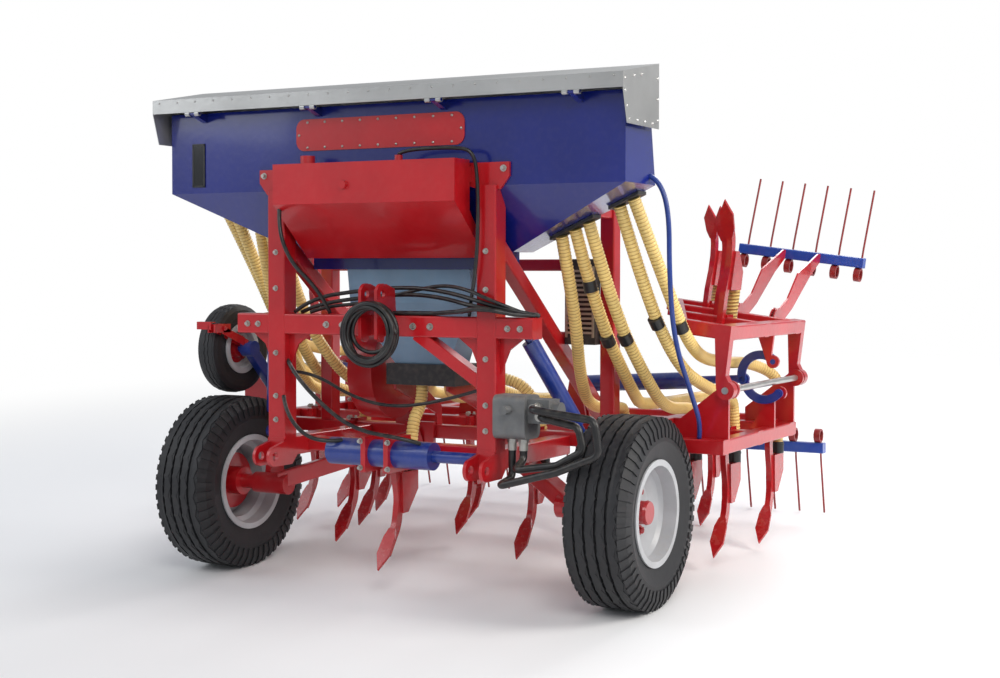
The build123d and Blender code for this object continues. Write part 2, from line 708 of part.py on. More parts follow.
def harrow_tine(x, y, z, length=330):
    """A coil on the bar's top and its kinked wire, as a light spring tine."""
    coil = rod((x - coil_width / 2, y, z + harrow_bar / 2 + coil_radius + touch),
               (x + coil_width / 2, y, z + harrow_bar / 2 + coil_radius + touch), coil_radius)
    coil -= rod((x - coil_width, y, z + harrow_bar / 2 + coil_radius + touch),
                (x + coil_width, y, z + harrow_bar / 2 + coil_radius + touch), coil_radius - 10)
    top = z + harrow_bar / 2 + coil_radius
    route = [(x, y + coil_radius - 5, top), (x, y + coil_radius + 12, z - 70), (x, y + coil_radius + 72, z - length)]
    wire = None
    for start, end in zip(route, route[1:]):
        run = Vector(*end) - Vector(*start)
        piece = extrude(Plane(origin=start, z_dir=run) * RegularPolygon(harrow_tine_radius, 6), run.length)
        wire = piece if wire is None else wire + piece
    return coil + wire


def centre_harrow_bar():
    return bar((-centre_harrow_half, centre_harrow_y, centre_harrow_z),
               (centre_harrow_half, centre_harrow_y, centre_harrow_z), harrow_bar, harrow_bar)


def centre_harrow_tines():
    count = 20
    pitch = 2 * (centre_harrow_half - 30) / (count - 1)
    return [harrow_tine(-centre_harrow_half + 30 + step * pitch, centre_harrow_y, centre_harrow_z)
            for step in range(count)]


# Wings, drawn folded out flat at the right, then folded over the centre

harrow_pivot = (third_beam_y + 96, beam_z - 10)
harrow_pin_radius = 10
harrow_arm_xs = (hinge_x + 150, hinge_x + 330)


def wing_harrow_brackets():
    """Half-round plates with the pin each harrow arm swings on, behind the third beam."""
    y0, z0 = harrow_pivot
    pieces = []
    for x in harrow_arm_xs:
        for way in (-1, 1):
            shape = outline([(third_beam_y + 28, beam_z + 26), (third_beam_y + 28, beam_z - 26),
                             (y0 - 10, z0 - 58), (y0 - 10, z0 + 58)])
            shape += Pos(y0 - 10, z0) * Circle(58)
            pieces.append(extrude(side_plane(x + way * 9) * shape, 3, both=True))
        pieces.append(rod((x - 15, y0, z0), (x + 15, y0, z0), harrow_pin_radius))
    return pieces


def wing_frame():
    """Staggered beams tied by the hinge-side rail and the slanting end rail, with hinge posts."""
    near = hinge_x + 6
    beams = [
        # y, reach from the hinge
        (front_beam_y, 262), (second_beam_y, 430), (third_beam_y, 640), (rear_beam_y, 790),
    ]
    pieces = [bar((near, y, beam_z), (hinge_x + reach, y, beam_z), beam_size, beam_size) for y, reach in beams[:3]]
    y, reach = beams[3]
    pieces.append(bar((hinge_x + 480, y, beam_z), (hinge_x + reach, y, beam_z), beam_size, beam_size))
    rail = near + beam_size / 2
    pieces.append(bar((rail, front_beam_y - 30, beam_z), (rail, third_beam_y + 94, beam_z), beam_size, beam_size))
    pieces.append(bar((hinge_x + 232, front_beam_y - 20, beam_z), (hinge_x + 760, rear_beam_y + 20, beam_z),
                      beam_size, beam_size))
    for post_y_place in wing_post_ys:
        shape = outline([(near, beam_z - 20), (near + 72, beam_z - 20), (hinge_x + 40, hinge_z), (hinge_x - 34, hinge_z),
                         (near, hinge_z - 60)])
        shape += Pos(hinge_x, hinge_z) * Circle(38)
        shape -= Pos(hinge_x, hinge_z) * Circle(hinge_rod_radius + touch)
        pieces.append(extrude(front_plane(post_y_place) * shape, wing_post_depth / 2, both=True))
    pin = flat_place(*wing_pin)
    shape = outline([(near, beam_z - 20), (near + 100, beam_z - 20), (pin[0] + 26, pin[1] + 8), (near, pin[1])])
    shape += Pos(*pin) * Circle(28)
    shape -= Pos(*pin) * Circle(fold_pin_radius + touch)
    pieces.append(extrude(front_plane(fork_y - 2 * fork_step - 8) * shape, 8, both=True))
    return fuse(pieces + wing_harrow_brackets())


def flat_place(x, z):
    """Where a point of the folded wing lies when the wing is out flat."""
    turn = radians(fold_angle)
    across, up = x - hinge_x, z - hinge_z
    return (hinge_x + across * cos(turn) + up * sin(turn), hinge_z - across * sin(turn) + up * cos(turn))


def folded(shape):
    """Turn a wing piece drawn out flat over the centre, right side."""
    return Pos(hinge_x, 0, hinge_z) * Rot(0, -fold_angle, 0) * Pos(-hinge_x, 0, -hinge_z) * shape


def curved_link(first, second, bulge, y, thickness=14, width=38):
    """A C-shaped link through two pins, bowed to one side."""
    ax, az = first
    bx, bz = second
    mx, mz = (ax + bx) / 2, (az + bz) / 2
    span = hypot(bx - ax, bz - az)
    nx, nz = -(bz - az) / span, (bx - ax) / span
    inner_bulge = bulge - width / 2 if bulge > 0 else bulge + width / 2
    outer_bulge = bulge + width / 2 if bulge > 0 else bulge - width / 2
    ux, uz = (bx - ax) / span * width / 2, (bz - az) / span * width / 2
    outer = ThreePointArc((ax - ux, az - uz), (mx + nx * outer_bulge, mz + nz * outer_bulge), (bx + ux, bz + uz))
    inner = ThreePointArc((bx - ux, bz - uz), (mx + nx * inner_bulge, mz + nz * inner_bulge), (ax + ux, az + uz))
    shape = make_face(outer + Line(outer @ 1, inner @ 0) + inner + Line(inner @ 1, outer @ 0))
    shape += Pos(*first) * Circle(width / 2) + Pos(*second) * Circle(width / 2)
    shape -= Pos(*first) * Circle(fold_pin_radius + touch) + Pos(*second) * Circle(fold_pin_radius + touch)
    return extrude(front_plane(y) * shape, thickness / 2, both=True)


def wing_link():
    """The link from the wing's middle post to the ram's pin, drawn folded, with its own pin."""
    link = curved_link(ram_pin, wing_pin, 66, fork_y - fork_step)
    pin = rod((wing_pin[0], fork_y - fork_step - 34, wing_pin[1]), (wing_pin[0], fork_y - 8, wing_pin[1]),
              fold_pin_radius)
    return [link, pin]


def frame_link():
    link = curved_link(ram_pin, frame_pin, -58, fork_y + fork_step)
    pin = rod((frame_pin[0], fork_y + 8, frame_pin[1]), (frame_pin[0], fork_y + fork_step + 42, frame_pin[1]),
              fold_pin_radius)
    eye_pin = rod((ram_pin[0], fork_y - 9, ram_pin[1]), (ram_pin[0], fork_y + fork_step + 12, ram_pin[1]),
                  fold_pin_radius)
    return [link, pin, eye_pin]


def fold_ram():
    """The fold cylinder lying across the frame, its rod's eye on the links' pin."""
    base = (ram_base_x, fork_y, 800)
    eye = (ram_pin[0], fork_y, ram_pin[1])
    run = Vector(*eye) - Vector(*base)
    step = run.normalized()
    barrel_end = Vector(*base) + step * (run.length - 260)
    barrel = rod(Vector(*base) + step * 46, barrel_end, 38) + rod(barrel_end, Vector(*eye) - step * 20, 18)
    barrel += rod(Vector(*base) + step * 20, Vector(*base) + step * 50, 12)
    for place in (base, eye):
        barrel += rod((place[0], fork_y - 9, place[2]), (place[0], fork_y + 9, place[2]), 26)
        barrel -= rod((place[0], fork_y - 40, place[2]), (place[0], fork_y + 40, place[2]), fold_pin_radius + touch)
    return barrel


wing_harrow_z = 302
wing_harrow_near = -70
wing_harrow_far = 575


def wing_harrow_bar():
    return bar((hinge_x + wing_harrow_near, wing_harrow_y, wing_harrow_z),
               (hinge_x + wing_harrow_far, wing_harrow_y, wing_harrow_z), harrow_bar, harrow_bar)


def wing_harrow_tines():
    count = 6
    pitch = (wing_harrow_far - wing_harrow_near - 50) / (count - 1)
    return [harrow_tine(hinge_x + wing_harrow_near + 25 + step * pitch, wing_harrow_y, wing_harrow_z, length=360)
            for step in range(count)]


def wing_harrow_arms():
    """S-shaped arms from their pivot pins behind the third beam back to the harrow bar."""
    y0, z0 = harrow_pivot
    arms = []
    for x in harrow_arm_xs:
        shape = outline([(y0 - 24, z0 + 24), (y0 - 24, z0 - 24), (y0 + 130, z0 - 100), (y0 + 240, z0 - 220),
                         (wing_harrow_y - 60, wing_harrow_z - 20), (wing_harrow_y - 25, wing_harrow_z - 20),
                         (wing_harrow_y - 25, wing_harrow_z + 22), (wing_harrow_y - 150, wing_harrow_z + 90),
                         (y0 + 210, z0 - 50), (y0 + 60, z0 + 24)])
        shape -= Pos(y0, z0) * Circle(harrow_pin_radius + touch)
        arms.append(extrude(side_plane(x) * shape, 4, both=True))
    return arms


# Land wheel at the left front corner, raised

land_x = -1072
land_y = 118
land_radius = 200
land_z = 2 * tyre_radius + 8 + land_radius
land_width = 104
land_bead = 100


def land_arm():
    """Blue arm from its bracket on the front beam up to the raised wheel, with the stub axle."""
    x = land_x + 92
    foot_z = beam_z + beam_size / 2
    bracket = Pos(x, front_beam_y, foot_z + 35) * Box(70, 50, 70)
    arm = bar((x, front_beam_y, foot_z + 60), (x, land_y, land_z), 44, 56, up=(0, 0, 1))
    axle = rod((x + 30, land_y, land_z), (land_x - 24, land_y, land_z), 17)
    boss = rod((x + 30, land_y, land_z), (x - 30, land_y, land_z), 36)
    return bracket + arm + axle + boss


land_place = Pos(land_x, land_y, land_z)
land_tyre = land_place * tyre(land_radius, land_width, land_bead - bead_seat - 0.5, ())
land_rim = land_place * mirrored(rim(land_bead, 94, 17 + touch, 10))


# Hydraulic hoses at the gear pump

pump_hoses = [
    # x outward from the hitch pin's middle, y, z
    [(228, -300.3, 800), (228, -372, 800), (505, -378, 770), (525, -384, 640), (352, -388, 570), (95, -375, 500),
     (95, -262, 520), (95, -262, 674)],
    [(255, -300.3, 770), (255, -352, 770), (425, -352, 740), (445, -352, 650), (335, -354, 590), (145, -342, 560),
     (145, -262, 590), (145, -262, 674)],
]
head_hose_radius = 9
head_hose_run = [
    # x outward, y behind the front hose's, z over the head beam
    (62, -240, 9.4), (250, -246, 9.4), (395, -300, 20), (470, -318, 32), (560, -318, 28), (640, -280, 12),
    (700, -240, 9.4),
]
coil_turns = [
    # x, z, turn radius
    (28, 1076, 118), (20, 1070, 124), (34, 1080, 114),
]


def pump_hose(points):
    places = [(x + lower_hitch_half, y, z) for x, y, z in points]
    path = FilletPolyline(*places, radius=34)
    return sweep(Plane(origin=places[0], z_dir=path % 0) * Circle(15), path=path)


def head_hoses():
    """Three thin hoses along the head beam to the right, and the coil hung before the top link bracket."""
    step = 2 * head_hose_radius + 0.6
    hoses = []
    for row in range(3):
        places = [(x, y - row * step, head_beam_high_z + z) for x, y, z in head_hose_run]
        path = FilletPolyline(*places, radius=60)
        hoses.append(sweep(Plane(origin=places[0], z_dir=path % 0) * Circle(head_hose_radius), path=path))
    for row, (x, z, radius) in enumerate(coil_turns):
        y = top_pin_y - 42 - head_hose_radius - touch - row * step
        hoses.append(Pos(x, y, z) * Rot(90, 0, 0) * Torus(radius, head_hose_radius))
    return hoses


def hopper_plaque():
    """The blank name plate on the hopper's front."""
    return extrude(Pos(-10, hopper_front_y - touch, 1884) * Rot(90, 0, 0) * RectangleRounded(810, 130, 40), 4)


# Putting the nodes together

nodes = {}


def keep(name, pieces):
    nodes[name] = pieces if isinstance(pieces, list) else [pieces]


def keep_both(name, pieces):
    pieces = pieces if isinstance(pieces, list) else [pieces]
    nodes[name] = pieces + [mirrored(piece) for piece in pieces]


def keep_pair(name, pieces):
    pieces = pieces if isinstance(pieces, list) else [pieces]
    nodes[name + "_right"] = pieces
    nodes[name + "_left"] = [mirrored(piece) for piece in pieces]


plates_right = hose_plates()
whole_plates = Compound(plates_right + [mirrored(piece) for piece in plates_right])

keep("main_frame", main_frame)
keep("distributor_stand", distributor_stand())
keep("headstock", head_block)
keep("top_link_bracket", top_link_bracket())
keep_both("wheel_arms", wheel_arm())
keep_pair("wheel_tyre", carrying_tyre)
keep_pair("wheel_rim", carrying_rim)
keep_pair("wheel_hub", carrying_hub)
keep_both("hinge_rods", hinge_rod())
keep("hopper_body", hopper())
keep("hopper_lid", lid())
keep("hopper_stand", hopper_stand())
keep("post_heads", post_heads())
keep("oil_tank", oil_tank())
keep("metering_funnel", metering_funnel())
keep("injector_box", injector_box())
keep("fan_housing", fan_housing())
keep("oil_cooler", oil_cooler())
keep("pump_gearbox", pump_gearbox())
keep("front_tube", front_tube())
keep("tube_saddles", tube_saddles())
keep("centre_tines", centre_tine_set() + [front_tine()])
keep("centre_harrow_bar", centre_harrow_bar())
keep("centre_harrow_tines", centre_harrow_tines())
keep_both("fold_rams", fold_ram())
keep_both("frame_links", frame_link())
keep_pair("wing_frame", folded(wing_frame()))
keep_pair("wing_link", wing_link())
keep_pair("wing_tines", [folded(tine(hinge_x + x, rows[row], drop=drop)) for x, row, drop in wing_tines])
keep_pair("wing_harrow_arms", [folded(piece) for piece in wing_harrow_arms()])
keep_pair("wing_harrow_bar", folded(wing_harrow_bar()))
keep_pair("wing_harrow_tines", [folded(piece) for piece in wing_harrow_tines()])
keep("hose_plates", plates_right + [mirrored(piece) for piece in plates_right])
keep("seed_hoses", [seed_hose(*run) for run in hose_runs])
keep("pump_hoses", [pump_hose(points) for points in pump_hoses])
keep("head_hoses", head_hoses())
keep("hopper_plaque", hopper_plaque())
keep_both("wheel_rams", wheel_ram())
keep_pair("wing_hoses", [folded(seed_stub(hinge_x + x, rows[row], boot_top_z + 120, drop))
                         for x, row, drop in wing_tines])
keep("land_arm", land_arm())
keep("land_rim", land_rim)
keep("land_tyre", land_tyre)

# Parked: the level machine leans back on its wheels until the rear tines' tips meet the ground.
tip_back = rear_beam_y - tine_tip_ahead
tip_down = tyre_radius - tine_tip_z
park_angle = degrees(asin(tyre_radius / hypot(tip_back, tip_down)) - atan2(tip_down, tip_back))
parked = Pos(0, 0, tyre_radius) * Rot(-park_angle, 0, 0) * Pos(0, 0, -tyre_radius)

whole = Compound([parked * piece for pieces in nodes.values() for piece in pieces]).bounding_box()
middle_y = (whole.min.Y + whole.max.Y) / 2
to_frame = Pos(0, -middle_y, 0) * parked

if __name__ == "__main__":
    os.makedirs("parts", exist_ok=True)
    for name, pieces in nodes.items():
        placed = [to_frame * piece for piece in pieces]
        solids = [solid for piece in placed for solid in piece.solids()]
        export_step(solids[0] if len(solids) == 1 else Compound(children=solids), f"parts/{name}.step")
    print("park angle", round(park_angle, 3), "middle y", round(middle_y, 2))
    print("size", [round(v) for v in (whole.min.X, whole.max.X, whole.min.Y, whole.max.Y, whole.min.Z, whole.max.Z)])
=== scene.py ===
from math import cos, pi, radians, sin, tau

import bmesh
import bpy
from mathutils import Matrix, Vector


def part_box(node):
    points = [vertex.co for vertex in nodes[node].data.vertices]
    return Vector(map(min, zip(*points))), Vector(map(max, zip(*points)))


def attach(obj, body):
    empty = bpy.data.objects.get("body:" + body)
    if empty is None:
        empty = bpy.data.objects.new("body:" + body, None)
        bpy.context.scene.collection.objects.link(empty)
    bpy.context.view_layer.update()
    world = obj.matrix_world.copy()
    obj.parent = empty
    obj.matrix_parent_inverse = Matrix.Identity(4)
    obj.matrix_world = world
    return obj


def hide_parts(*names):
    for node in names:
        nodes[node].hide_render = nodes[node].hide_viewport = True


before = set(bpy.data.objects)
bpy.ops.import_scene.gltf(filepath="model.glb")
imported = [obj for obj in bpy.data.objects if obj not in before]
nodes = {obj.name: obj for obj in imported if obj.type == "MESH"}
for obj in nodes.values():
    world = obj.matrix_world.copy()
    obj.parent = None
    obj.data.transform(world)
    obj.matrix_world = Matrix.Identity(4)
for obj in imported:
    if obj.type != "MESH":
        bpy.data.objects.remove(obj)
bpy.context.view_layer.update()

# The parked machine. It leans back on its two wheels and its rear tines, as it was left in the yard.
# Places below are first given for the machine standing level, in metres, X to the photograph's right
# and the tractor towards -Y, and this lean brings them into the row frame.

lean = radians(4.162)
tyre_low, tyre_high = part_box("wheel_tyre_right")
outline_middle = -(tyre_low[1] + tyre_high[1]) / 2
axle_height = 0.380
parked = (Matrix.Translation((0, -outline_middle, axle_height)) @ Matrix.Rotation(-lean, 4, "X")
          @ Matrix.Translation((0, 0, -axle_height)))


# The studio. A pale floor, a white surround seen by the camera, and four large soft lamps; the camera
# stands where the photographer stood, to the front and right of the headstock, at chest height.

def plain_material(name, colour, roughness):
    material = bpy.data.materials.new(name)
    material.use_nodes = True
    shader = material.node_tree.nodes["Principled BSDF"]
    shader.inputs["Base Color"].default_value = (*colour, 1)
    shader.inputs["Roughness"].default_value = roughness
    return material


half_floor, floor_drop = 40, 0.0005
floor_mesh = bpy.data.meshes.new("studio_floor")
floor_corners = [(-half_floor, -half_floor, 0), (half_floor, -half_floor, 0),
                 (half_floor, half_floor, 0), (-half_floor, half_floor, 0)]
floor_mesh.from_pydata(floor_corners, [], [(0, 1, 2, 3)])
floor = bpy.data.objects.new("studio_floor", floor_mesh)
bpy.context.collection.objects.link(floor)
floor.location.z = -floor_drop
pale_floor = plain_material("studio_floor", (0.86, 0.86, 0.87), 0.9)
floor_mesh.materials.append(pale_floor)
near_edge, far_edge = 3.2, 7.5
floor_tree = pale_floor.node_tree
floor_place = floor_tree.nodes.new("ShaderNodeNewGeometry")
floor_distance = floor_tree.nodes.new("ShaderNodeVectorMath")
floor_distance.operation = "LENGTH"
floor_fade = floor_tree.nodes.new("ShaderNodeMapRange")
floor_fade.interpolation_type = "SMOOTHSTEP"
floor_fade.inputs["From Min"].default_value = near_edge
floor_fade.inputs["From Max"].default_value = far_edge
floor_seen = floor_tree.nodes.new("ShaderNodeLightPath")
floor_white = floor_tree.nodes.new("ShaderNodeEmission")
floor_white.inputs["Color"].default_value = (1, 1, 1, 1)
floor_white.inputs["Strength"].default_value = 1.0
floor_mask = floor_tree.nodes.new("ShaderNodeMath")
floor_mask.operation = "MULTIPLY"
floor_mix = floor_tree.nodes.new("ShaderNodeMixShader")
floor_tree.links.new(floor_place.outputs["Position"], floor_distance.inputs[0])
floor_tree.links.new(floor_distance.outputs["Value"], floor_fade.inputs["Value"])
floor_tree.links.new(floor_fade.outputs["Result"], floor_mask.inputs[0])
floor_tree.links.new(floor_seen.outputs["Is Camera Ray"], floor_mask.inputs[1])
floor_tree.links.new(floor_mask.outputs[0], floor_mix.inputs["Fac"])
floor_tree.links.new(floor_tree.nodes["Principled BSDF"].outputs[0], floor_mix.inputs[1])
floor_tree.links.new(floor_white.outputs[0], floor_mix.inputs[2])
floor_tree.links.new(floor_mix.outputs[0], floor_tree.nodes["Material Output"].inputs["Surface"])

world = bpy.data.worlds.new("studio_world")
bpy.context.scene.world = world
world.use_nodes = True
world_nodes = world.node_tree.nodes
world_links = world.node_tree.links
soft_sky = world_nodes["Background"]
soft_sky.inputs["Color"].default_value = (0.90, 0.94, 1.0, 1)
soft_sky.inputs["Strength"].default_value = 0.50
white_sky = world_nodes.new("ShaderNodeBackground")
white_sky.inputs["Color"].default_value = (1, 1, 1, 1)
white_sky.inputs["Strength"].default_value = 1.0
seen = world_nodes.new("ShaderNodeLightPath")
seen_or_mirrored = world_nodes.new("ShaderNodeMath")
seen_or_mirrored.operation = "MAXIMUM"
world_links.new(seen.outputs["Is Camera Ray"], seen_or_mirrored.inputs[0])
world_links.new(seen.outputs["Is Transmission Ray"], seen_or_mirrored.inputs[1])
sky_choice = world_nodes.new("ShaderNodeMixShader")
world_links.new(seen_or_mirrored.outputs[0], sky_choice.inputs["Fac"])
world_links.new(soft_sky.outputs[0], sky_choice.inputs[1])
world_links.new(white_sky.outputs[0], sky_choice.inputs[2])
world_links.new(sky_choice.outputs[0], world_nodes["World Output"].inputs["Surface"])

studio_lamps = [
    # name, place, size, power, colour
    ("lamp_front_right", (4.5, -6.5, 6.0), 3.5, 260, (1.0, 0.97, 0.93)),
    ("lamp_right", (7.5, 0.5, 4.5), 3.0, 400, (1.0, 0.96, 0.90)),
    ("lamp_front_left", (-6.0, -5.0, 5.0), 4.5, 130, (0.94, 0.97, 1.0)),
    ("lamp_behind", (1.0, 6.5, 6.0), 4.0, 420, (1.0, 1.0, 1.0)),
]
lamp_target = Vector((0, 0, 1.0))
for name, place, size, power, colour in studio_lamps:
    lamp_data = bpy.data.lights.new(name, "AREA")
    lamp_data.size = size
    lamp_data.energy = power
    lamp_data.color = colour
    lamp = bpy.data.objects.new(name, lamp_data)
    bpy.context.collection.objects.link(lamp)
    lamp.location = place
    lamp.rotation_euler = (lamp_target - Vector(place)).to_track_quat("-Z", "Y").to_euler()

photographer = (3.449, -5.452, 1.310)
look_turn, look_tilt, look_roll = radians(27.26), radians(-1.565), radians(0.134)
camera_data = bpy.data.cameras.new("photo_camera")
camera_data.lens = 54.97
camera_data.sensor_width = 36
camera_data.shift_x = -0.0526
camera_data.shift_y = -0.0228
camera = bpy.data.objects.new("photo_camera", camera_data)
bpy.context.collection.objects.link(camera)
camera.matrix_world = (parked @ Matrix.Translation(photographer)
                       @ Matrix.Rotation(look_turn, 4, "Z")
                       @ Matrix.Rotation(pi / 2 + look_tilt, 4, "X")
                       @ Matrix.Rotation(look_roll, 4, "Z"))
bpy.context.scene.camera = camera
bpy.context.scene.view_settings.view_transform = "Standard"


# The frame, headstock, wings and oil tank. Welded square tube and folded sheet, sprayed a bright red
# that has clouded a little with age and gathered yard dust on whatever faces up.

def weather_group():
    """Colour and roughness of old paint: cloudy fading, dust on what faces up, and fine scratches."""
    group = bpy.data.node_groups.new("weathered_paint", "ShaderNodeTree")
    face = group.interface
    for name, kind in (("Paint", "NodeSocketColor"), ("Dust", "NodeSocketColor"),
                       ("Dust Amount", "NodeSocketFloat"), ("Cloud Size", "NodeSocketFloat"),
                       ("Gloss Roughness", "NodeSocketFloat")):
        face.new_socket(name=name, in_out="INPUT", socket_type=kind)
    for name, kind in (("Color", "NodeSocketColor"), ("Roughness", "NodeSocketFloat"),
                       ("Height", "NodeSocketFloat")):
        face.new_socket(name=name, in_out="OUTPUT", socket_type=kind)
    inside, link = group.nodes, group.links.new
    given = inside.new("NodeGroupInput")
    result = inside.new("NodeGroupOutput")
    place = inside.new("ShaderNodeTexCoord")
    clouds = inside.new("ShaderNodeTexNoise")
    clouds.inputs["Detail"].default_value = 5
    link(place.outputs["Object"], clouds.inputs["Vector"])
    link(given.outputs["Cloud Size"], clouds.inputs["Scale"])
    fade = inside.new("ShaderNodeMapRange")
    fade.inputs["From Min"].default_value = 0.3
    fade.inputs["From Max"].default_value = 0.75
    fade.inputs["To Min"].default_value = 0.78
    fade.inputs["To Max"].default_value = 1.12
    link(clouds.outputs["Fac"], fade.inputs["Value"])
    faded = inside.new("ShaderNodeVectorMath")
    faded.operation = "SCALE"
    link(given.outputs["Paint"], faded.inputs[0])
    link(fade.outputs["Result"], faded.inputs["Scale"])
    facing = inside.new("ShaderNodeNewGeometry")
    split = inside.new("ShaderNodeSeparateXYZ")
    link(facing.outputs["Normal"], split.inputs[0])
    upward = inside.new("ShaderNodeMapRange")
    upward.inputs["From Min"].default_value = 0.2
    upward.inputs["From Max"].default_value = 1.0
    upward.inputs["To Min"].default_value = 0.18
    link(split.outputs["Z"], upward.inputs["Value"])
    grit = inside.new("ShaderNodeTexNoise")
    grit.inputs["Scale"].default_value = 38
    grit.inputs["Detail"].default_value = 8
    link(place.outputs["Object"], grit.inputs["Vector"])
    patch = inside.new("ShaderNodeMapRange")
    patch.inputs["From Min"].default_value = 0.45
    patch.inputs["From Max"].default_value = 0.7
    link(grit.outputs["Fac"], patch.inputs["Value"])
    settled = inside.new("ShaderNodeMath")
    settled.operation = "MULTIPLY"
    link(upward.outputs["Result"], settled.inputs[0])
    link(given.outputs["Dust Amount"], settled.inputs[1])
    dust = inside.new("ShaderNodeMath")
    dust.operation = "MULTIPLY"
    dust.use_clamp = True
    link(settled.outputs[0], dust.inputs[0])
    link(patch.outputs["Result"], dust.inputs[1])
    coat = inside.new("ShaderNodeMix")
    coat.data_type = "RGBA"
    link(dust.outputs[0], coat.inputs["Factor"])
    link(faded.outputs[0], coat.inputs["A"])
    link(given.outputs["Dust"], coat.inputs["B"])
    link(coat.outputs["Result"], result.inputs["Color"])
    dull = inside.new("ShaderNodeMath")
    dull.operation = "MULTIPLY_ADD"
    dull.inputs[1].default_value = 0.4
    dull.use_clamp = True
    link(dust.outputs[0], dull.inputs[0])
    link(given.outputs["Gloss Roughness"], dull.inputs[2])
    link(dull.outputs[0], result.inputs["Roughness"])
    link(grit.outputs["Fac"], result.inputs["Height"])
    return group


weathered = weather_group()
yard_dust = (0.42, 0.36, 0.28)


def painted(name, colour, roughness, dust_amount, cloud_size,
            metallic=0.0, bump=0.002, dust_colour=yard_dust, lacquer=0.0):
    """A material of this colour under the shared weather effect."""
    material = bpy.data.materials.new(name)
    material.use_nodes = True
    tree = material.node_tree
    shader = tree.nodes["Principled BSDF"]
    shader.inputs["Metallic"].default_value = metallic
    shader.inputs["Coat Weight"].default_value = lacquer
    shader.inputs["Coat Roughness"].default_value = 0.08
    effect = tree.nodes.new("ShaderNodeGroup")
    effect.node_tree = weathered
    effect.inputs["Paint"].default_value = (*colour, 1)
    effect.inputs["Dust"].default_value = (*dust_colour, 1)
    effect.inputs["Dust Amount"].default_value = dust_amount
    effect.inputs["Cloud Size"].default_value = cloud_size
    effect.inputs["Gloss Roughness"].default_value = roughness
    relief = tree.nodes.new("ShaderNodeBump")
    relief.inputs["Strength"].default_value = 0.35
    relief.inputs["Distance"].default_value = bump
    tree.links.new(effect.outputs["Color"], shader.inputs["Base Color"])
    tree.links.new(effect.outputs["Roughness"], shader.inputs["Roughness"])
    tree.links.new(effect.outputs["Height"], relief.inputs["Height"])
    tree.links.new(relief.outputs["Normal"], shader.inputs["Normal"])
    return material


def dress(material, *names):
    """Give CAD nodes this material."""
    for name in names:
        for place in nodes[name].material_slots:
            place.material = material


red_paint = painted("red_paint", (0.46, 0.005, 0.010), 0.28, 0.08, 3.0, lacquer=0.5)
dress(red_paint, "main_frame", "headstock", "top_link_bracket", "wheel_arms", "hopper_stand",
      "post_heads", "wing_frame_left", "wing_frame_right", "tube_saddles", "distributor_stand",
      "oil_tank", "fan_housing", "wheel_hub_left", "wheel_hub_right", "hopper_plaque",
      "wing_harrow_arms_left", "wing_harrow_arms_right")

# Blue pieces. The front tube, cylinders, fold links, harrow bars and the land wheel's arm are steel,
# sprayed a strong mid blue; the hopper's folded sheet has a darker and glossier coat.

blue_paint = painted("blue_paint", (0.008, 0.035, 0.26), 0.30, 0.18, 4.0, lacquer=0.5)
harrow_blue = painted("harrow_blue", (0.010, 0.060, 0.36), 0.32, 0.18, 4.0, lacquer=0.5)
dress(blue_paint, "front_tube", "wheel_rams", "fold_rams", "frame_links", "wing_link_left",
      "wing_link_right", "land_arm")
hopper_blue = painted("hopper_blue", (0.004, 0.012, 0.17), 0.24, 0.06, 2.0, lacquer=0.6)
dress(harrow_blue, "centre_harrow_bar", "wing_harrow_bar_left", "wing_harrow_bar_right")
dress(hopper_blue, "hopper_body")

# Bare, grey and black pieces. Pressed steel rims, a lid folded from bare aluminium sheet, a cast
# gearbox, the black cooler, injector box and hose plates, and a moulded light blue seed funnel.

rim_grey = painted("rim_grey", (0.44, 0.45, 0.47), 0.36, 0.20, 5.0)
lid_metal = painted("lid_metal", (0.50, 0.50, 0.49), 0.36, 0.20, 2.5, metallic=0.75)
cast_grey = painted("cast_grey", (0.16, 0.165, 0.17), 0.55, 0.35, 12.0, metallic=0.3, bump=0.004)
cooler_black = painted("cooler_black", (0.028, 0.028, 0.03), 0.5, 0.45, 8.0)
funnel_blue = painted("funnel_blue", (0.20, 0.33, 0.47), 0.45, 0.30, 4.0)
dress(rim_grey, "wheel_rim_left", "wheel_rim_right", "land_rim")
dress(lid_metal, "hopper_lid")
dress(cast_grey, "pump_gearbox")
dress(cooler_black, "oil_cooler", "injector_box", "hose_plates")
dress(funnel_blue, "metering_funnel")

# Tines and springs. Forged spring steel dipped in the same red, a shade deeper where the paint lies
# thin over the forging scale; the new points haven't met soil yet.

tine_red = painted("tine_red", (0.42, 0.006, 0.010), 0.26, 0.10, 9.0, lacquer=0.6)
wire_red = painted("wire_red", (0.26, 0.012, 0.012), 0.38, 0.20, 16.0)
pin_steel = painted("pin_steel", (0.52, 0.51, 0.49), 0.3, 0.2, 10.0, metallic=0.85)
dress(tine_red, "centre_tines", "wing_tines_left", "wing_tines_right")
dress(wire_red, "centre_harrow_tines", "wing_harrow_tines_left", "wing_harrow_tines_right")
dress(pin_steel, "hinge_rods")

# Hose ends on the wings, and the plain black hoses. The short ends in the wings' boots are the same
# straw-yellow ribbed plastic as the long seed hoses; the pump's hoses and the thick ones on the head
# beam are smooth black rubber.


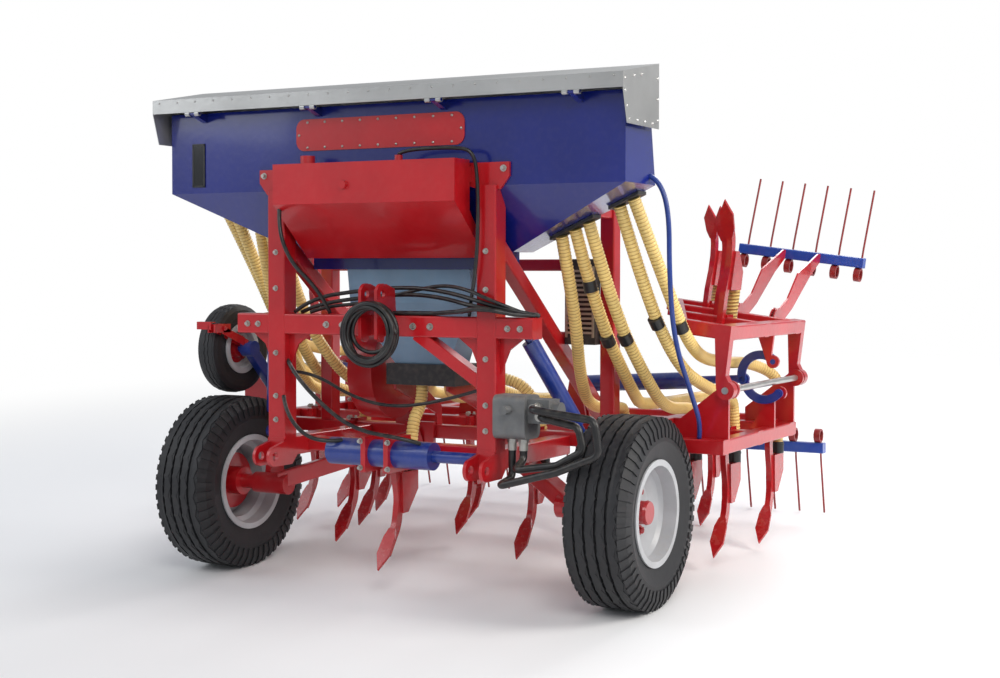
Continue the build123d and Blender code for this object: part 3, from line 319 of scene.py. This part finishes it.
def ribbed_hose(name, crest, valley_shade, roughness, rib_pitch):
    """Straw plastic whose ribs run round it: its straw colour on each crest, and a brown painted shade
    in the valleys between.
    """
    material = painted(name, crest, roughness, 0.25, 6.0)
    tree = material.node_tree
    shader = tree.nodes["Principled BSDF"]
    effect = next(node for node in tree.nodes if node.type == "GROUP")
    place = tree.nodes.new("ShaderNodeTexCoord")
    split = tree.nodes.new("ShaderNodeSeparateXYZ")
    phase = tree.nodes.new("ShaderNodeMath")
    phase.operation = "MULTIPLY"
    phase.inputs[1].default_value = tau / rib_pitch
    wave = tree.nodes.new("ShaderNodeMath")
    wave.operation = "SINE"
    crest_mask = tree.nodes.new("ShaderNodeMapRange")
    crest_mask.inputs["From Min"].default_value = -1.0
    crest_mask.inputs["From Max"].default_value = 0.2
    # The valley colour is painted shade, mixed in where the rib wave runs low.
    band = tree.nodes.new("ShaderNodeMix")
    band.data_type = "RGBA"
    band.inputs["A"].default_value = (*valley_shade, 1)
    relief = tree.nodes.new("ShaderNodeBump")
    relief.inputs["Strength"].default_value = 0.9
    relief.inputs["Distance"].default_value = 0.004
    tree.links.new(place.outputs["Object"], split.inputs[0])
    tree.links.new(split.outputs["Z"], phase.inputs[0])
    tree.links.new(phase.outputs[0], wave.inputs[0])
    tree.links.new(wave.outputs[0], crest_mask.inputs["Value"])
    tree.links.new(crest_mask.outputs["Result"], band.inputs["Factor"])
    tree.links.new(effect.outputs["Color"], band.inputs["B"])
    tree.links.new(band.outputs["Result"], shader.inputs["Base Color"])
    tree.links.new(wave.outputs[0], relief.inputs["Height"])
    tree.links.new(relief.outputs["Normal"], shader.inputs["Normal"])
    return material


# The second colour is the brown painted shade of the rib valleys.
straw_stub = ribbed_hose("straw_stub", (0.86, 0.62, 0.20), (0.45, 0.27, 0.07), 0.34, 0.015)
black_rubber = painted("black_rubber", (0.010, 0.010, 0.011), 0.34, 0.18, 8.0)
dress(straw_stub, "wing_hoses_left", "wing_hoses_right", "seed_hoses")
dress(black_rubber, "pump_hoses", "head_hoses")

# Tyres. Black rubber implement tyres, 10.0/75-15.3, moulded with five zigzag ribs round the crown
# between straight grooves and short lugs down each shoulder; the land wheel's has four low ribs.

tyre_rubber = painted("tyre_rubber", (0.012, 0.0125, 0.015), 0.55, 0.40, 7.0,
                      dust_colour=(0.07, 0.065, 0.065))
dress(tyre_rubber, "wheel_tyre_left", "wheel_tyre_right", "land_tyre")


def add_piece(name, mesh_builder, material, body):
    """A new mesh piece that rides on a body."""
    build = bmesh.new()
    mesh_builder(build)
    bmesh.ops.recalc_face_normals(build, faces=build.faces)
    mesh = bpy.data.meshes.new(name)
    build.to_mesh(mesh)
    build.free()
    mesh.materials.append(material)
    piece = bpy.data.objects.new(name, mesh)
    bpy.context.collection.objects.link(piece)
    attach(piece, body)
    return piece


def ring_point(centre, across, radius, angle):
    return (centre[0] + across, centre[1] + radius * cos(angle), centre[2] + radius * sin(angle))


def zigzag_rib(build, centre, middle, width, low, high, sway, steps):
    """One rib round the tyre: its middle swings from side to side at each step."""
    half, chamfer = width / 2, 0.002
    rings = []
    for step in range(steps):
        angle = tau * step / steps
        shift = middle + (sway if step % 2 else -sway)
        corners = [(shift - half, low), (shift - half + chamfer, high),
                   (shift + half - chamfer, high), (shift + half, low)]
        rings.append([build.verts.new(ring_point(centre, across, radius, angle))
                      for across, radius in corners])
    for step in range(steps):
        here, there = rings[step], rings[(step + 1) % steps]
        for side in range(3):
            build.faces.new((here[side], here[side + 1], there[side + 1], there[side]))


def shoulder_lugs(build, centre, outline, count, share):
    """Short blocks round both shoulders, each as long as this share of the pitch."""
    for side in (-1, 1):
        for step in range(count):
            start = tau * (step + (0.5 if side > 0 else 0)) / count
            end = start + tau / count * share
            rows = []
            for angle in (start, end):
                rows.append([build.verts.new(ring_point(centre, side * across, radius, angle))
                             for across, radius in outline])
            size = len(outline)
            for corner in range(size):
                after = (corner + 1) % size
                build.faces.new((rows[0][corner], rows[0][after], rows[1][after], rows[1][corner]))
            build.faces.new(rows[0])
            build.faces.new(list(reversed(rows[1])))


tyre_radius, tyre_half = 0.380, 0.132
rib_middles = (-0.088, -0.0445, 0.0, 0.0445, 0.088)
rib_width, rib_depth, rib_sway, rib_steps = 0.029, 0.012, 0.0075, 56
crown_rise, shoulder_drop = 0.002, 0.003
lug_count, lug_share = 54, 0.55
lug_outline = [
    # across, radius
    (tyre_half * 0.78, 0.371), (tyre_half * 0.85, 0.3775), (tyre_half * 1.005, 0.338),
    (tyre_half * 1.035, 0.298), (tyre_half * 0.97, 0.298), (tyre_half * 0.93, 0.338),
]


def big_tread(centre):
    def build_tread(build):
        for middle in rib_middles:
            outermost = middle in (rib_middles[0], rib_middles[-1])
            reach = tyre_radius + (-shoulder_drop if outermost else crown_rise)
            zigzag_rib(build, centre, middle, rib_width, tyre_radius - rib_depth, reach,
                       rib_sway, rib_steps)
        shoulder_lugs(build, centre, lug_outline, lug_count, lug_share)
    return build_tread


def middle_of(name):
    low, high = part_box(name)
    return tuple((a + b) / 2 for a, b in zip(low, high))


for side in ("left", "right"):
    centre = middle_of("wheel_tyre_" + side)
    add_piece("tread_" + side, big_tread(centre), tyre_rubber, "wheel_" + side)


def small_tread(build):
    centre = middle_of("land_tyre")
    groove_floor, crown, shoulder = 0.196, 0.2025, 0.199
    for middle, reach in ((-0.030, shoulder), (-0.010, crown), (0.010, crown), (0.030, shoulder)):
        zigzag_rib(build, centre, middle, 0.013, groove_floor, reach, 0.0025, 64)


add_piece("land_tread", small_tread, tyre_rubber, "land_wheel")

# Bolts and washers. Plated steel hexagon bolts where plates meet: at the hopper's mounting plates, the
# head beam and posts, the front tine and every tine clamp.

bolt_plate = painted("bolt_plate", (0.50, 0.49, 0.46), 0.35, 0.35, 20.0, metallic=0.8)


def facing(direction):
    """The turn that stands a shape's Z axis along this direction."""
    return Vector((0, 0, 1)).rotation_difference(Vector(direction)).to_matrix().to_4x4()


def turned_shape(build, seat, sides, near_radius, far_radius, depth, rise=0.0):
    """A capped cone or drum on the seat's Z axis, with its middle at this rise."""
    bmesh.ops.create_cone(build, cap_ends=True, segments=sides, radius1=near_radius,
                          radius2=far_radius, depth=depth,
                          matrix=seat @ Matrix.Translation((0, 0, rise)))


def bolt(build, place, direction, size, height):
    """A washer and a hexagon head standing on a face, in the row frame."""
    washer = 0.003
    seat = Matrix.Translation(place) @ facing(direction)
    turned_shape(build, seat, 12, size * 0.85, size * 0.85, washer, washer / 2)
    turned_shape(build, seat, 6, size * 0.58, size * 0.54, height, washer + height / 2)


def level_place(x, y, z):
    return parked @ Vector((x, y, z))


def level_direction(x, y, z):
    return parked.to_3x3() @ Vector((x, y, z))


level_turn = Matrix.Rotation(-lean, 4, "X")
forward = level_direction(0, -1, 0)
upward = level_direction(0, 0, 1)
side_bolts = [
    # distances from the middle, Y, heights, bolt size, head: plates, beam ends and posts
    ((0.415, 0.575), -0.2898, (1.720,), 0.016, 0.012),
    ((0.60, 0.655), -0.302, (1.10,), 0.015, 0.011),
    ((0.505,), -0.305, (0.70, 0.80, 0.98, 1.25, 1.40), 0.014, 0.010),
]
middle_bolts = [
    # X places, Y, heights, bolt size, head: the bracket's row and the four round the front tine
    ((-0.25, -0.17, 0.17, 0.25), -0.302, (1.102,), 0.017, 0.012),
    ((-0.081, 0.051), -0.304, (0.523, 0.631), 0.014, 0.014),
]


def bolt_rows(build, rows, side):
    for distances, y, heights, size, head in rows:
        for across in distances:
            for height in heights:
                bolt(build, level_place(side * across, y, height), forward, size, head)


def frame_bolts(build):
    for side in (-1, 1):
        bolt_rows(build, side_bolts, side)
    bolt_rows(build, middle_bolts, 1)


add_piece("frame_bolts", frame_bolts, bolt_plate, "frame")

beam_height = 0.608
row_places = {"front": 0.380, "second": 0.800, "third": 1.220, "rear": 1.560}
tine_places = [
    # x, row
    (-1.1466, "third"), (-1.092, "second"), (-0.910, "third"), (-0.728, "second"), (-0.5642, "front"),
    (-0.364, "third"), (-0.182, "second"), (0.182, "third"), (0.364, "front"), (0.5642, "second"),
    (0.728, "rear"), (0.910, "second"), (1.092, "second"), (1.1466, "third"),
]


front_reach, front_spread = 0.070, 0.048
top_reach, top_spread, top_rise = 0.035, 0.013, 0.043


def clamp_bolts(build):
    for x, row in tine_places:
        for rise in (-front_spread, front_spread):
            place = level_place(x, row_places[row] - front_reach, beam_height + rise)
            bolt(build, place, forward, 0.013, 0.010)
        for across in (-top_spread, top_spread):
            place = level_place(x + across, row_places[row] - top_reach, beam_height + top_rise)
            bolt(build, place, upward, 0.010, 0.009)


add_piece("clamp_bolts", clamp_bolts, bolt_plate, "frame")

# Long seed hoses. Ribbed straw-yellow plastic, 52 mm across, pushed over the outlets at the hopper's
# hose plates and the distributor, and led down to the tines' boots, each in one smooth sagging sweep.


def smooth_run(route):
    """The places along a smooth line that the route's corners pull into shape."""
    curve = bpy.data.curves.new("hose_route", "CURVE")
    curve.dimensions = "3D"
    curve.resolution_u = 14
    run = curve.splines.new("NURBS")
    run.points.add(len(route) - 1)
    for corner, place in zip(run.points, route):
        corner.co = (*level_place(*place), 1)
    run.order_u = 3
    run.use_endpoint_u = True
    holder = bpy.data.objects.new("hose_route", curve)
    line = bpy.data.meshes.new_from_object(holder)
    places = [vertex.co.copy() for vertex in line.vertices]
    bpy.data.objects.remove(holder)
    bpy.data.curves.remove(curve)
    bpy.data.meshes.remove(line)
    return places


def even_steps(places, step):
    """The same line, stepped off at equal lengths."""
    stepped = [places[0]]
    left = step
    for first, last in zip(places, places[1:]):
        run = (last - first).length
        reached = 0.0
        while run - reached > left:
            reached += left
            stepped.append(first.lerp(last, reached / run))
            left = step
        left -= run - reached
    stepped.append(places[-1])
    return stepped


def hose_skin(build, places, radii, sides, dark=()):
    """A round skin along the line; radii repeat ring by ring, dark rings take the second material,
    which paints shade into the rib valleys.
    """
    side_way = (places[1] - places[0]).orthogonal().normalized()
    rings = []
    for index, place in enumerate(places):
        before = places[max(index - 1, 0)]
        after = places[min(index + 1, len(places) - 1)]
        along = (after - before).normalized()
        side_way = (side_way - along * side_way.dot(along)).normalized()
        other_way = along.cross(side_way)
        radius = radii[index % len(radii)]
        rings.append([build.verts.new(place + (side_way * cos(tau * side / sides)
                                               + other_way * sin(tau * side / sides)) * radius)
                      for side in range(sides)])
    for index, (here, there) in enumerate(zip(rings, rings[1:])):
        for side in range(sides):
            after = (side + 1) % sides
            face = build.faces.new((here[side], here[after], there[after], there[side]))
            face.smooth = True
            face.material_index = 1 if index % len(radii) in dark else 0
    build.faces.new(list(reversed(rings[0])))
    build.faces.new(rings[-1])


# The crest rings take the hose's straw colour; the valley ring takes a brown painted shade.
straw_crest = painted("straw_crest", (0.88, 0.64, 0.22), 0.36, 0.12, 6.0)
straw_valley_shade = painted("straw_valley_shade", (0.50, 0.30, 0.08), 0.5, 0.3, 6.0)
hose_routes = [
    # corners of each hose's route from the top down
    [(-0.014, 0.060, 0.839), (-0.014, 0.060, 0.760), (-0.014, -0.030, 0.680), (-0.014, -0.030, 0.488)],
    [(-0.040, 0.220, 0.885), (-0.040, 0.330, 0.885), (-0.182, 0.560, 0.740), (-0.182, 0.820, 0.730),
     (-0.182, 0.872, 0.700), (-0.182, 0.872, 0.488)],
    [(-0.120, 0.220, 0.885), (-0.120, 0.350, 0.885), (-0.364, 0.640, 0.740), (-0.364, 1.240, 0.725),
     (-0.364, 1.292, 0.690), (-0.364, 1.292, 0.488)],
    [(0.040, 0.220, 0.885), (0.040, 0.330, 0.885), (0.182, 0.580, 0.740), (0.182, 1.240, 0.725),
     (0.182, 1.292, 0.690), (0.182, 1.292, 0.488)],
    [(0.120, 0.220, 0.885), (0.120, 0.330, 0.885), (0.364, 0.452, 0.800), (0.364, 0.452, 0.488)],
    [(0.690, -0.020, 1.464), (0.690, 0.100, 1.160), (0.605, 0.320, 0.880), (0.564, 0.500, 0.730),
     (0.564, 0.820, 0.715), (0.564, 0.872, 0.690), (0.564, 0.872, 0.488)],
    [(0.750, -0.020, 1.491), (0.775, 0.120, 1.160), (0.806, 0.430, 0.800), (0.728, 0.700, 0.730),
     (0.728, 1.580, 0.725), (0.728, 1.632, 0.690), (0.728, 1.632, 0.488)],
    [(0.810, -0.020, 1.518), (0.855, 0.120, 1.160), (0.905, 0.330, 0.880), (0.910, 0.520, 0.740),
     (0.910, 0.820, 0.725), (0.910, 0.872, 0.690), (0.910, 0.872, 0.488)],
    [(0.944, -0.020, 1.579), (1.000, 0.120, 1.210), (1.045, 0.330, 0.940), (1.092, 0.500, 0.845),
     (1.092, 0.820, 0.775), (1.092, 0.872, 0.720), (1.092, 0.872, 0.488)],
    [(1.004, -0.020, 1.606), (1.080, 0.120, 1.270), (1.120, 0.310, 0.985), (1.055, 0.820, 0.925),
     (1.055, 1.130, 0.915), (1.147, 1.280, 0.850), (1.147, 1.292, 0.760), (1.147, 1.292, 0.488)],
    [(-0.690, -0.020, 1.464), (-0.690, 0.100, 1.160), (-0.620, 0.300, 0.870), (-0.564, 0.452, 0.780),
     (-0.564, 0.452, 0.488)],
    [(-0.750, -0.020, 1.491), (-0.785, 0.120, 1.160), (-0.808, 0.430, 0.800), (-0.728, 0.640, 0.730),
     (-0.728, 0.820, 0.725), (-0.728, 0.872, 0.690), (-0.728, 0.872, 0.488)],
    [(-0.810, -0.020, 1.518), (-0.850, 0.120, 1.160), (-0.880, 0.330, 0.870), (-0.910, 0.560, 0.730),
     (-0.910, 1.240, 0.725), (-0.910, 1.292, 0.690), (-0.910, 1.292, 0.488)],
    [(-0.944, -0.020, 1.579), (-0.905, 0.120, 1.270), (-0.885, 0.330, 0.960), (-1.092, 0.640, 0.850),
     (-1.092, 0.820, 0.775), (-1.092, 0.872, 0.720), (-1.092, 0.872, 0.488)],
    [(-1.004, -0.020, 1.606), (-0.955, 0.120, 1.350), (-0.925, 0.310, 1.010), (-1.055, 0.820, 0.925),
     (-1.055, 1.130, 0.915), (-1.147, 1.280, 0.850), (-1.147, 1.292, 0.760), (-1.147, 1.292, 0.488)],
]
rib_radii = (0.0268, 0.0262, 0.0243, 0.0243, 0.0262)
ring_step, hose_sides = 0.0030, 9


def long_hoses(build):
    for route in hose_routes:
        # Ring 2 of each five, in the valley, gets the painted shade.
        hose_skin(build, even_steps(smooth_run(route), ring_step), rib_radii, hose_sides, dark=(2,))


ribbed_hoses = add_piece("ribbed_hoses", long_hoses, straw_crest, "frame")
ribbed_hoses.data.materials.append(straw_valley_shade)
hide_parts("seed_hoses")

# Thin hydraulic hoses. Black rubber hoses of several sizes that come over the head beam, hang in a
# loose coil before the top link bracket and run on down to the tank and the front tube. A blue one
# feeds the right wing.

blue_braid = painted("blue_braid", (0.010, 0.040, 0.24), 0.34, 0.15, 8.0)
thin_routes = [
    # radius, corners of the route
    (0.0085, [(-0.440, -0.262, 1.150), (-0.370, -0.245, 1.210), (-0.120, -0.206, 1.245),
              (0.100, -0.206, 1.258), (0.300, -0.262, 1.240), (0.450, -0.325, 1.215),
              (0.580, -0.325, 1.180), (0.680, -0.290, 1.160), (0.720, -0.262, 1.150)]),
    (0.0085, [(-0.420, -0.240, 1.150), (-0.340, -0.235, 1.185), (-0.120, -0.204, 1.215),
              (0.100, -0.204, 1.230), (0.300, -0.270, 1.215), (0.450, -0.343, 1.190),
              (0.600, -0.330, 1.165), (0.710, -0.280, 1.150)]),
    (0.0075, [(-0.360, -0.262, 1.150), (-0.300, -0.240, 1.175), (-0.120, -0.208, 1.190),
              (0.120, -0.208, 1.245), (0.280, -0.250, 1.268), (0.440, -0.328, 1.250),
              (0.560, -0.345, 1.205), (0.690, -0.275, 1.150)]),
    (0.0075, [(0.140, -0.360, 1.782), (0.160, -0.362, 1.800), (0.420, -0.362, 1.802),
              (0.474, -0.345, 1.780), (0.482, -0.328, 1.680), (0.482, -0.326, 1.450),
              (0.470, -0.330, 1.300), (0.440, -0.310, 1.200), (0.420, -0.285, 1.148)]),
    (0.0085, [(-0.425, -0.380, 1.610), (-0.400, -0.430, 1.500), (-0.360, -0.400, 1.360),
              (-0.300, -0.330, 1.270), (-0.270, -0.280, 1.190), (-0.260, -0.262, 1.148)]),
    (0.0085, [(-0.464, -0.280, 0.950), (-0.400, -0.320, 0.890), (-0.200, -0.342, 0.740),
              (-0.050, -0.345, 0.675), (0.120, -0.320, 0.655), (0.180, -0.262, 0.630)]),
    (0.0070, [(-0.464, -0.250, 0.900), (-0.360, -0.250, 0.900), (-0.160, -0.240, 0.800),
              (0.000, -0.180, 0.760), (0.250, -0.190, 0.800), (0.464, -0.250, 0.860)]),
    (0.0085, [(-0.470, -0.300, 0.800), (-0.430, -0.340, 0.740), (-0.340, -0.350, 0.650),
              (-0.250, -0.320, 0.620), (-0.200, -0.262, 0.625)]),
]


coil_middle, coil_radius = (0.027, -0.401, 1.074), 0.112
coil_turns, corners_per_turn = 5, 8


def coil_corners():
    """A loose coil, whose turns differ a little in reach, droop and distance forward."""
    corners = []
    for step in range(corners_per_turn * coil_turns + 1):
        angle = tau * step / corners_per_turn
        reach = coil_radius + 0.010 * sin(angle * 0.43 + 1.0) + 0.006 * cos(angle * 0.71)
        droop = 0.022 * max(0.0, -sin(angle)) * sin(angle * 0.2 + 0.6)
        corners.append((coil_middle[0] + reach * cos(angle),
                        coil_middle[1] + 0.016 * sin(angle * 0.37),
                        coil_middle[2] + reach * sin(angle) - droop))
    return corners


thin_step, coil_step, thin_sides, coil_half = 0.012, 0.010, 10, 0.0085


def thin_hoses(build):
    for radius, route in thin_routes:
        hose_skin(build, even_steps(smooth_run(route), thin_step), (radius,), thin_sides)
    hose_skin(build, even_steps(smooth_run(coil_corners()), coil_step), (coil_half,), thin_sides)


add_piece("thin_hoses", thin_hoses, black_rubber, "frame")


def wing_feed(build):
    route = [(1.080, -0.050, 1.690), (1.120, -0.052, 1.680), (1.168, -0.055, 1.560),
             (1.170, -0.055, 1.300), (1.160, 0.020, 1.050), (1.165, 0.200, 0.820),
             (1.140, 0.350, 0.700), (1.125, 0.372, 0.640)]
    hose_skin(build, even_steps(smooth_run(route), thin_step), (0.010,), 12)


add_piece("wing_feed_hose", wing_feed, blue_braid, "frame")

# Hose cuffs. Each seed hose ends in a dark moulded rubber cuff, pushed over its boot and held by the
# raised band of a worm-drive clip.

boot_top, hose_setback, hose_half = 0.4885, 0.072, 0.026
cuff_length, cuff_radius, clip_rise, clip_width = 0.052, hose_half + 0.003, 0.0015, 0.009
front_boot = (-0.014, -0.030)


def cuff(build, x, y):
    seat = Matrix.Translation(level_place(x, y, boot_top + cuff_length / 2)) @ level_turn
    turned_shape(build, seat, 20, cuff_radius, cuff_radius, cuff_length)
    turned_shape(build, seat, 20, cuff_radius + clip_rise, cuff_radius + clip_rise,
                 clip_width, cuff_length * 0.28)


def hose_cuffs(build):
    for x, row in tine_places:
        cuff(build, x, row_places[row] + hose_setback)
    cuff(build, *front_boot)


add_piece("hose_cuffs", hose_cuffs, black_rubber, "frame")

# Hose bands. Broad dark rubber bands slipped over the long hoses about half-way down from the hopper,
# where one hose would rub on the next.

band_places = [
    # start of the hose's run, its end, share of the way
    ((0.750, -0.020, 1.560), (0.775, 0.120, 1.150), 0.72),
    ((0.775, 0.120, 1.150), (0.806, 0.430, 0.790), 0.30),
    ((0.855, 0.120, 1.150), (0.905, 0.330, 0.870), 0.35),
    ((1.000, 0.120, 1.200), (1.045, 0.330, 0.930), 0.30),
    ((1.080, 0.120, 1.260), (1.120, 0.310, 0.975), 0.55),
    ((-0.785, 0.120, 1.150), (-0.808, 0.430, 0.780), 0.30),
    ((-0.850, 0.120, 1.150), (-0.880, 0.330, 0.860), 0.45),
]


band_radius, band_width = hose_half + 0.0025, 0.046


def hose_bands(build):
    for start, end, share in band_places:
        first, last = level_place(*start), level_place(*end)
        run = last - first
        seat = Matrix.Translation(first + run * share) @ facing(run)
        turned_shape(build, seat, 24, band_radius, band_radius, band_width)


add_piece("hose_bands", hose_bands, black_rubber, "frame")

# The sight window. A narrow dark pane let into the left of the hopper's front, where the seed's level
# is read, and the black rubber edge that is pressed round it to hold it in the sheet.

window_dark = plain_material("window_dark", (0.012, 0.013, 0.015), 0.12)
window_x, window_face, window_height = -0.935, -0.2795, 1.775


def level_box(build, x, y, z, size, tilt=0.0):
    """A box with its middle at this level place, tilted about X by this much."""
    seat = Matrix.Translation(level_place(x, y, z)) @ level_turn @ Matrix.Rotation(tilt, 4, "X")
    bmesh.ops.create_cube(build, size=1, matrix=seat @ Matrix.Diagonal((*size, 1)))


def sight_window(build):
    level_box(build, window_x, window_face, window_height, (0.052, 0.004, 0.170))


add_piece("sight_window", sight_window, window_dark, "frame")


def window_edge(build):
    for across in (-0.030, 0.030):
        level_box(build, window_x + across, window_face, window_height, (0.008, 0.006, 0.186))
    for rise in (-0.089, 0.089):
        level_box(build, window_x, window_face, window_height + rise, (0.068, 0.006, 0.008))


add_piece("window_edge", window_edge, black_rubber, "frame")

# Rivets of the blank plate and the lid. The plate is held by round-headed rivets about its edge, and
# the lid's folded ends and front lip are riveted to its skin in the same way.

rivet_bright = painted("rivet_bright", (0.45, 0.45, 0.44), 0.35, 0.3, 20.0, metallic=0.8)


plate_middle, plate_face, plate_height = -0.010, -0.2823, 1.884
rivet_size = 0.006


def rivet(build, place, direction, size):
    seat = Matrix.Translation(place) @ facing(direction)
    turned_shape(build, seat, 14, size, size * 0.72, size * 0.5, size * 0.25)
    turned_shape(build, seat, 14, size * 0.72, size * 0.25, size * 0.3, size * 0.65)


def plate_rivet(build, across, rise):
    place = level_place(plate_middle + across, plate_face, plate_height + rise)
    rivet(build, place, forward, rivet_size)


def plate_rivets(build):
    for step in range(-4, 5):
        for rise in (-0.052, 0.052):
            plate_rivet(build, step * 0.087, rise)
    for across in (-0.390, 0.390):
        plate_rivet(build, across, 0)


add_piece("plate_rivets", plate_rivets, bolt_plate, "frame")
cheek_face = 1.116
lip_count, lip_start, lip_step, lip_rivet_size = 23, -1.078, 0.098, 0.0045
cheek_rivets = [
    # Y, height
    (-0.350, 2.030), (-0.350, 1.985), (-0.332, 1.930), (-0.312, 1.885), (-0.240, 1.885),
    (-0.170, 1.885), (-0.100, 1.885), (-0.050, 1.900), (-0.050, 1.980), (-0.050, 2.060),
    (-0.200, 2.060), (-0.270, 2.048),
]


def lid_rivets(build):
    for side in (-1, 1):
        for y, height in cheek_rivets:
            place = level_place(side * cheek_face, y, height)
            rivet(build, place, level_direction(side, 0, 0), rivet_size)
    for step in range(lip_count):
        place = level_place(lip_start + step * lip_step, -0.366, 2.040)
        rivet(build, place, forward, lip_rivet_size)


add_piece("lid_rivets", lid_rivets, rivet_bright, "lid")

# Wheel nuts and hub caps. Five coned hexagon nuts on the studs of each wheel's pressed hub, and a low
# cap over its bearings, all sprayed red with the hub.

track_half, disc_out = 0.988, 0.023
studs, stud_circle, cap_out = 5, 0.081, 0.052


def wheel_nuts(centre, side):
    def build_nuts(build):
        outward = (side, 0, 0)
        face = (side * (track_half + disc_out), centre[1], centre[2])
        for step in range(studs):
            bolt(build, ring_point(face, 0, stud_circle, tau * step / studs), outward, 0.024, 0.013)
        cap = Matrix.Translation((face[0] + side * cap_out, centre[1], centre[2])) @ facing(outward)
        turned_shape(build, cap, 28, 0.049, 0.044, 0.012)
    return build_nuts


for side, sign in (("left", -1), ("right", 1)):
    centre = middle_of("wheel_tyre_" + side)
    add_piece("wheel_nuts_" + side, wheel_nuts(centre, sign), red_paint, "wheel_" + side)

# The land wheel's hub and scraper. A red pressed hub with four nuts turns on the stub axle, and a red
# angle bar on a small fork, bolted to the wheel's arm, stands before the tyre to clean it.

land_centre = middle_of("land_tyre")
land_studs, land_circle, land_disc = 4, 0.058, 0.017


def land_hub(build):
    turn = Matrix.Rotation(pi / 2, 4, "Y")
    for across, near_radius, far_radius, depth in (
            (0.012, 0.078, 0.070, 0.010), (0.025, 0.044, 0.036, 0.022)):
        seat = Matrix.Translation((land_centre[0] + across, land_centre[1], land_centre[2])) @ turn
        turned_shape(build, seat, 32, near_radius, far_radius, depth)
    for step in range(land_studs):
        angle = tau * (step + 0.5) / land_studs
        place = ring_point(land_centre, land_disc, land_circle, angle)
        bolt(build, place, (1, 0, 0), 0.016, 0.008)


add_piece("land_hub", land_hub, red_paint, "land_wheel")


bar_middle, arm_tilt = -1.049, radians(-22)


def scraper(build):
    level_box(build, bar_middle, -0.114, 1.078, (0.080, 0.006, 0.034))
    level_box(build, bar_middle, -0.100, 1.093, (0.080, 0.028, 0.005))
    for across in (-1.024, -0.990):
        level_box(build, across, -0.062, 1.066, (0.006, 0.110, 0.038))
        level_box(build, across, 0.040, 1.020, (0.006, 0.200, 0.034), arm_tilt)
    for across, outward in ((-1.0285, -1), (-0.9855, 1)):
        for y, height in ((-0.050, 1.066), (0.100, 0.998)):
            bolt(build, level_place(across, y, height), (outward, 0, 0), 0.014, 0.008)


add_piece("land_scraper", scraper, red_paint, "frame")

# The oil cooler's face. Rows of thin pressed aluminium fins, dulled by dust, and the folded strip down
# each side of them, brazed together inside the cooler's black frame.

fin_metal = painted("fin_metal", (0.46, 0.40, 0.31), 0.42, 0.3, 30.0, metallic=0.5)


cooler_middle, fin_face, cooler_height = 0.611, 0.3055, 1.195
fin_rows, fin_step = 14, 0.020


def cooler_fins(build):
    for row in range(fin_rows):
        rise = row * fin_step - 0.130
        level_box(build, cooler_middle, fin_face, cooler_height + rise, (0.116, 0.005, 0.0095))
    for across in (-0.062, 0.062):
        level_box(build, cooler_middle + across, fin_face, cooler_height, (0.010, 0.007, 0.300))


add_piece("cooler_fins", cooler_fins, fin_metal, "frame")

# Hose fittings. Plated steel where the black hoses meet the pump: a hexagon swivel screwed on each
# port, and behind it the round ferrule that is crimped over the hose's end.

pump_hose_half = 0.015
fittings = [
    # place, the way the hose leaves
    ((0.733, -0.3003, 0.800), forward), ((0.760, -0.3003, 0.770), forward),
    ((0.600, -0.262, 0.674), -upward), ((0.650, -0.262, 0.674), -upward),
]


def hose_fittings(build):
    swivel_radius, ferrule_radius = pump_hose_half * 1.45, pump_hose_half * 1.18
    for place, way_out in fittings:
        seat = Matrix.Translation(level_place(*place)) @ facing(way_out)
        turned_shape(build, seat, 6, swivel_radius, swivel_radius, 0.014, 0.007)
        turned_shape(build, seat, 20, ferrule_radius, ferrule_radius, 0.032, 0.030)


add_piece("hose_fittings", hose_fittings, bolt_plate, "frame")

# The blower's intake guard. Three rings of bright steel wire welded to four cross wires, over the
# opening in the scroll's outer side.

guard_rings, guard_steps = (0.030, 0.055, 0.080), 28
wire_half, wire_sides = 0.0022, 5


def wire_ring(build, seat, radius):
    rings = []
    for step in range(guard_steps):
        angle = tau * step / guard_steps
        ring = []
        for corner in range(wire_sides):
            around = tau * corner / wire_sides
            reach = radius + wire_half * cos(around)
            local = Vector((reach * cos(angle), reach * sin(angle), wire_half * sin(around)))
            ring.append(build.verts.new(seat @ local))
        rings.append(ring)
    for step in range(guard_steps):
        here, there = rings[step], rings[(step + 1) % guard_steps]
        for corner in range(wire_sides):
            after = (corner + 1) % wire_sides
            build.faces.new((here[corner], here[after], there[after], there[corner]))


def intake_guard(build):
    seat = (Matrix.Translation(level_place(-0.377, 0.210, 0.880)) @ level_turn
            @ Matrix.Rotation(pi / 2, 4, "Y"))
    for radius in guard_rings:
        wire_ring(build, seat, radius)
    for step in range(4):
        spoke = seat @ Matrix.Rotation(pi / 4 * step, 4, "Z")
        bmesh.ops.create_cube(build, size=1, matrix=spoke @ Matrix.Diagonal((0.176, 0.004, 0.004, 1)))


add_piece("intake_guard", intake_guard, pin_steel, "frame")
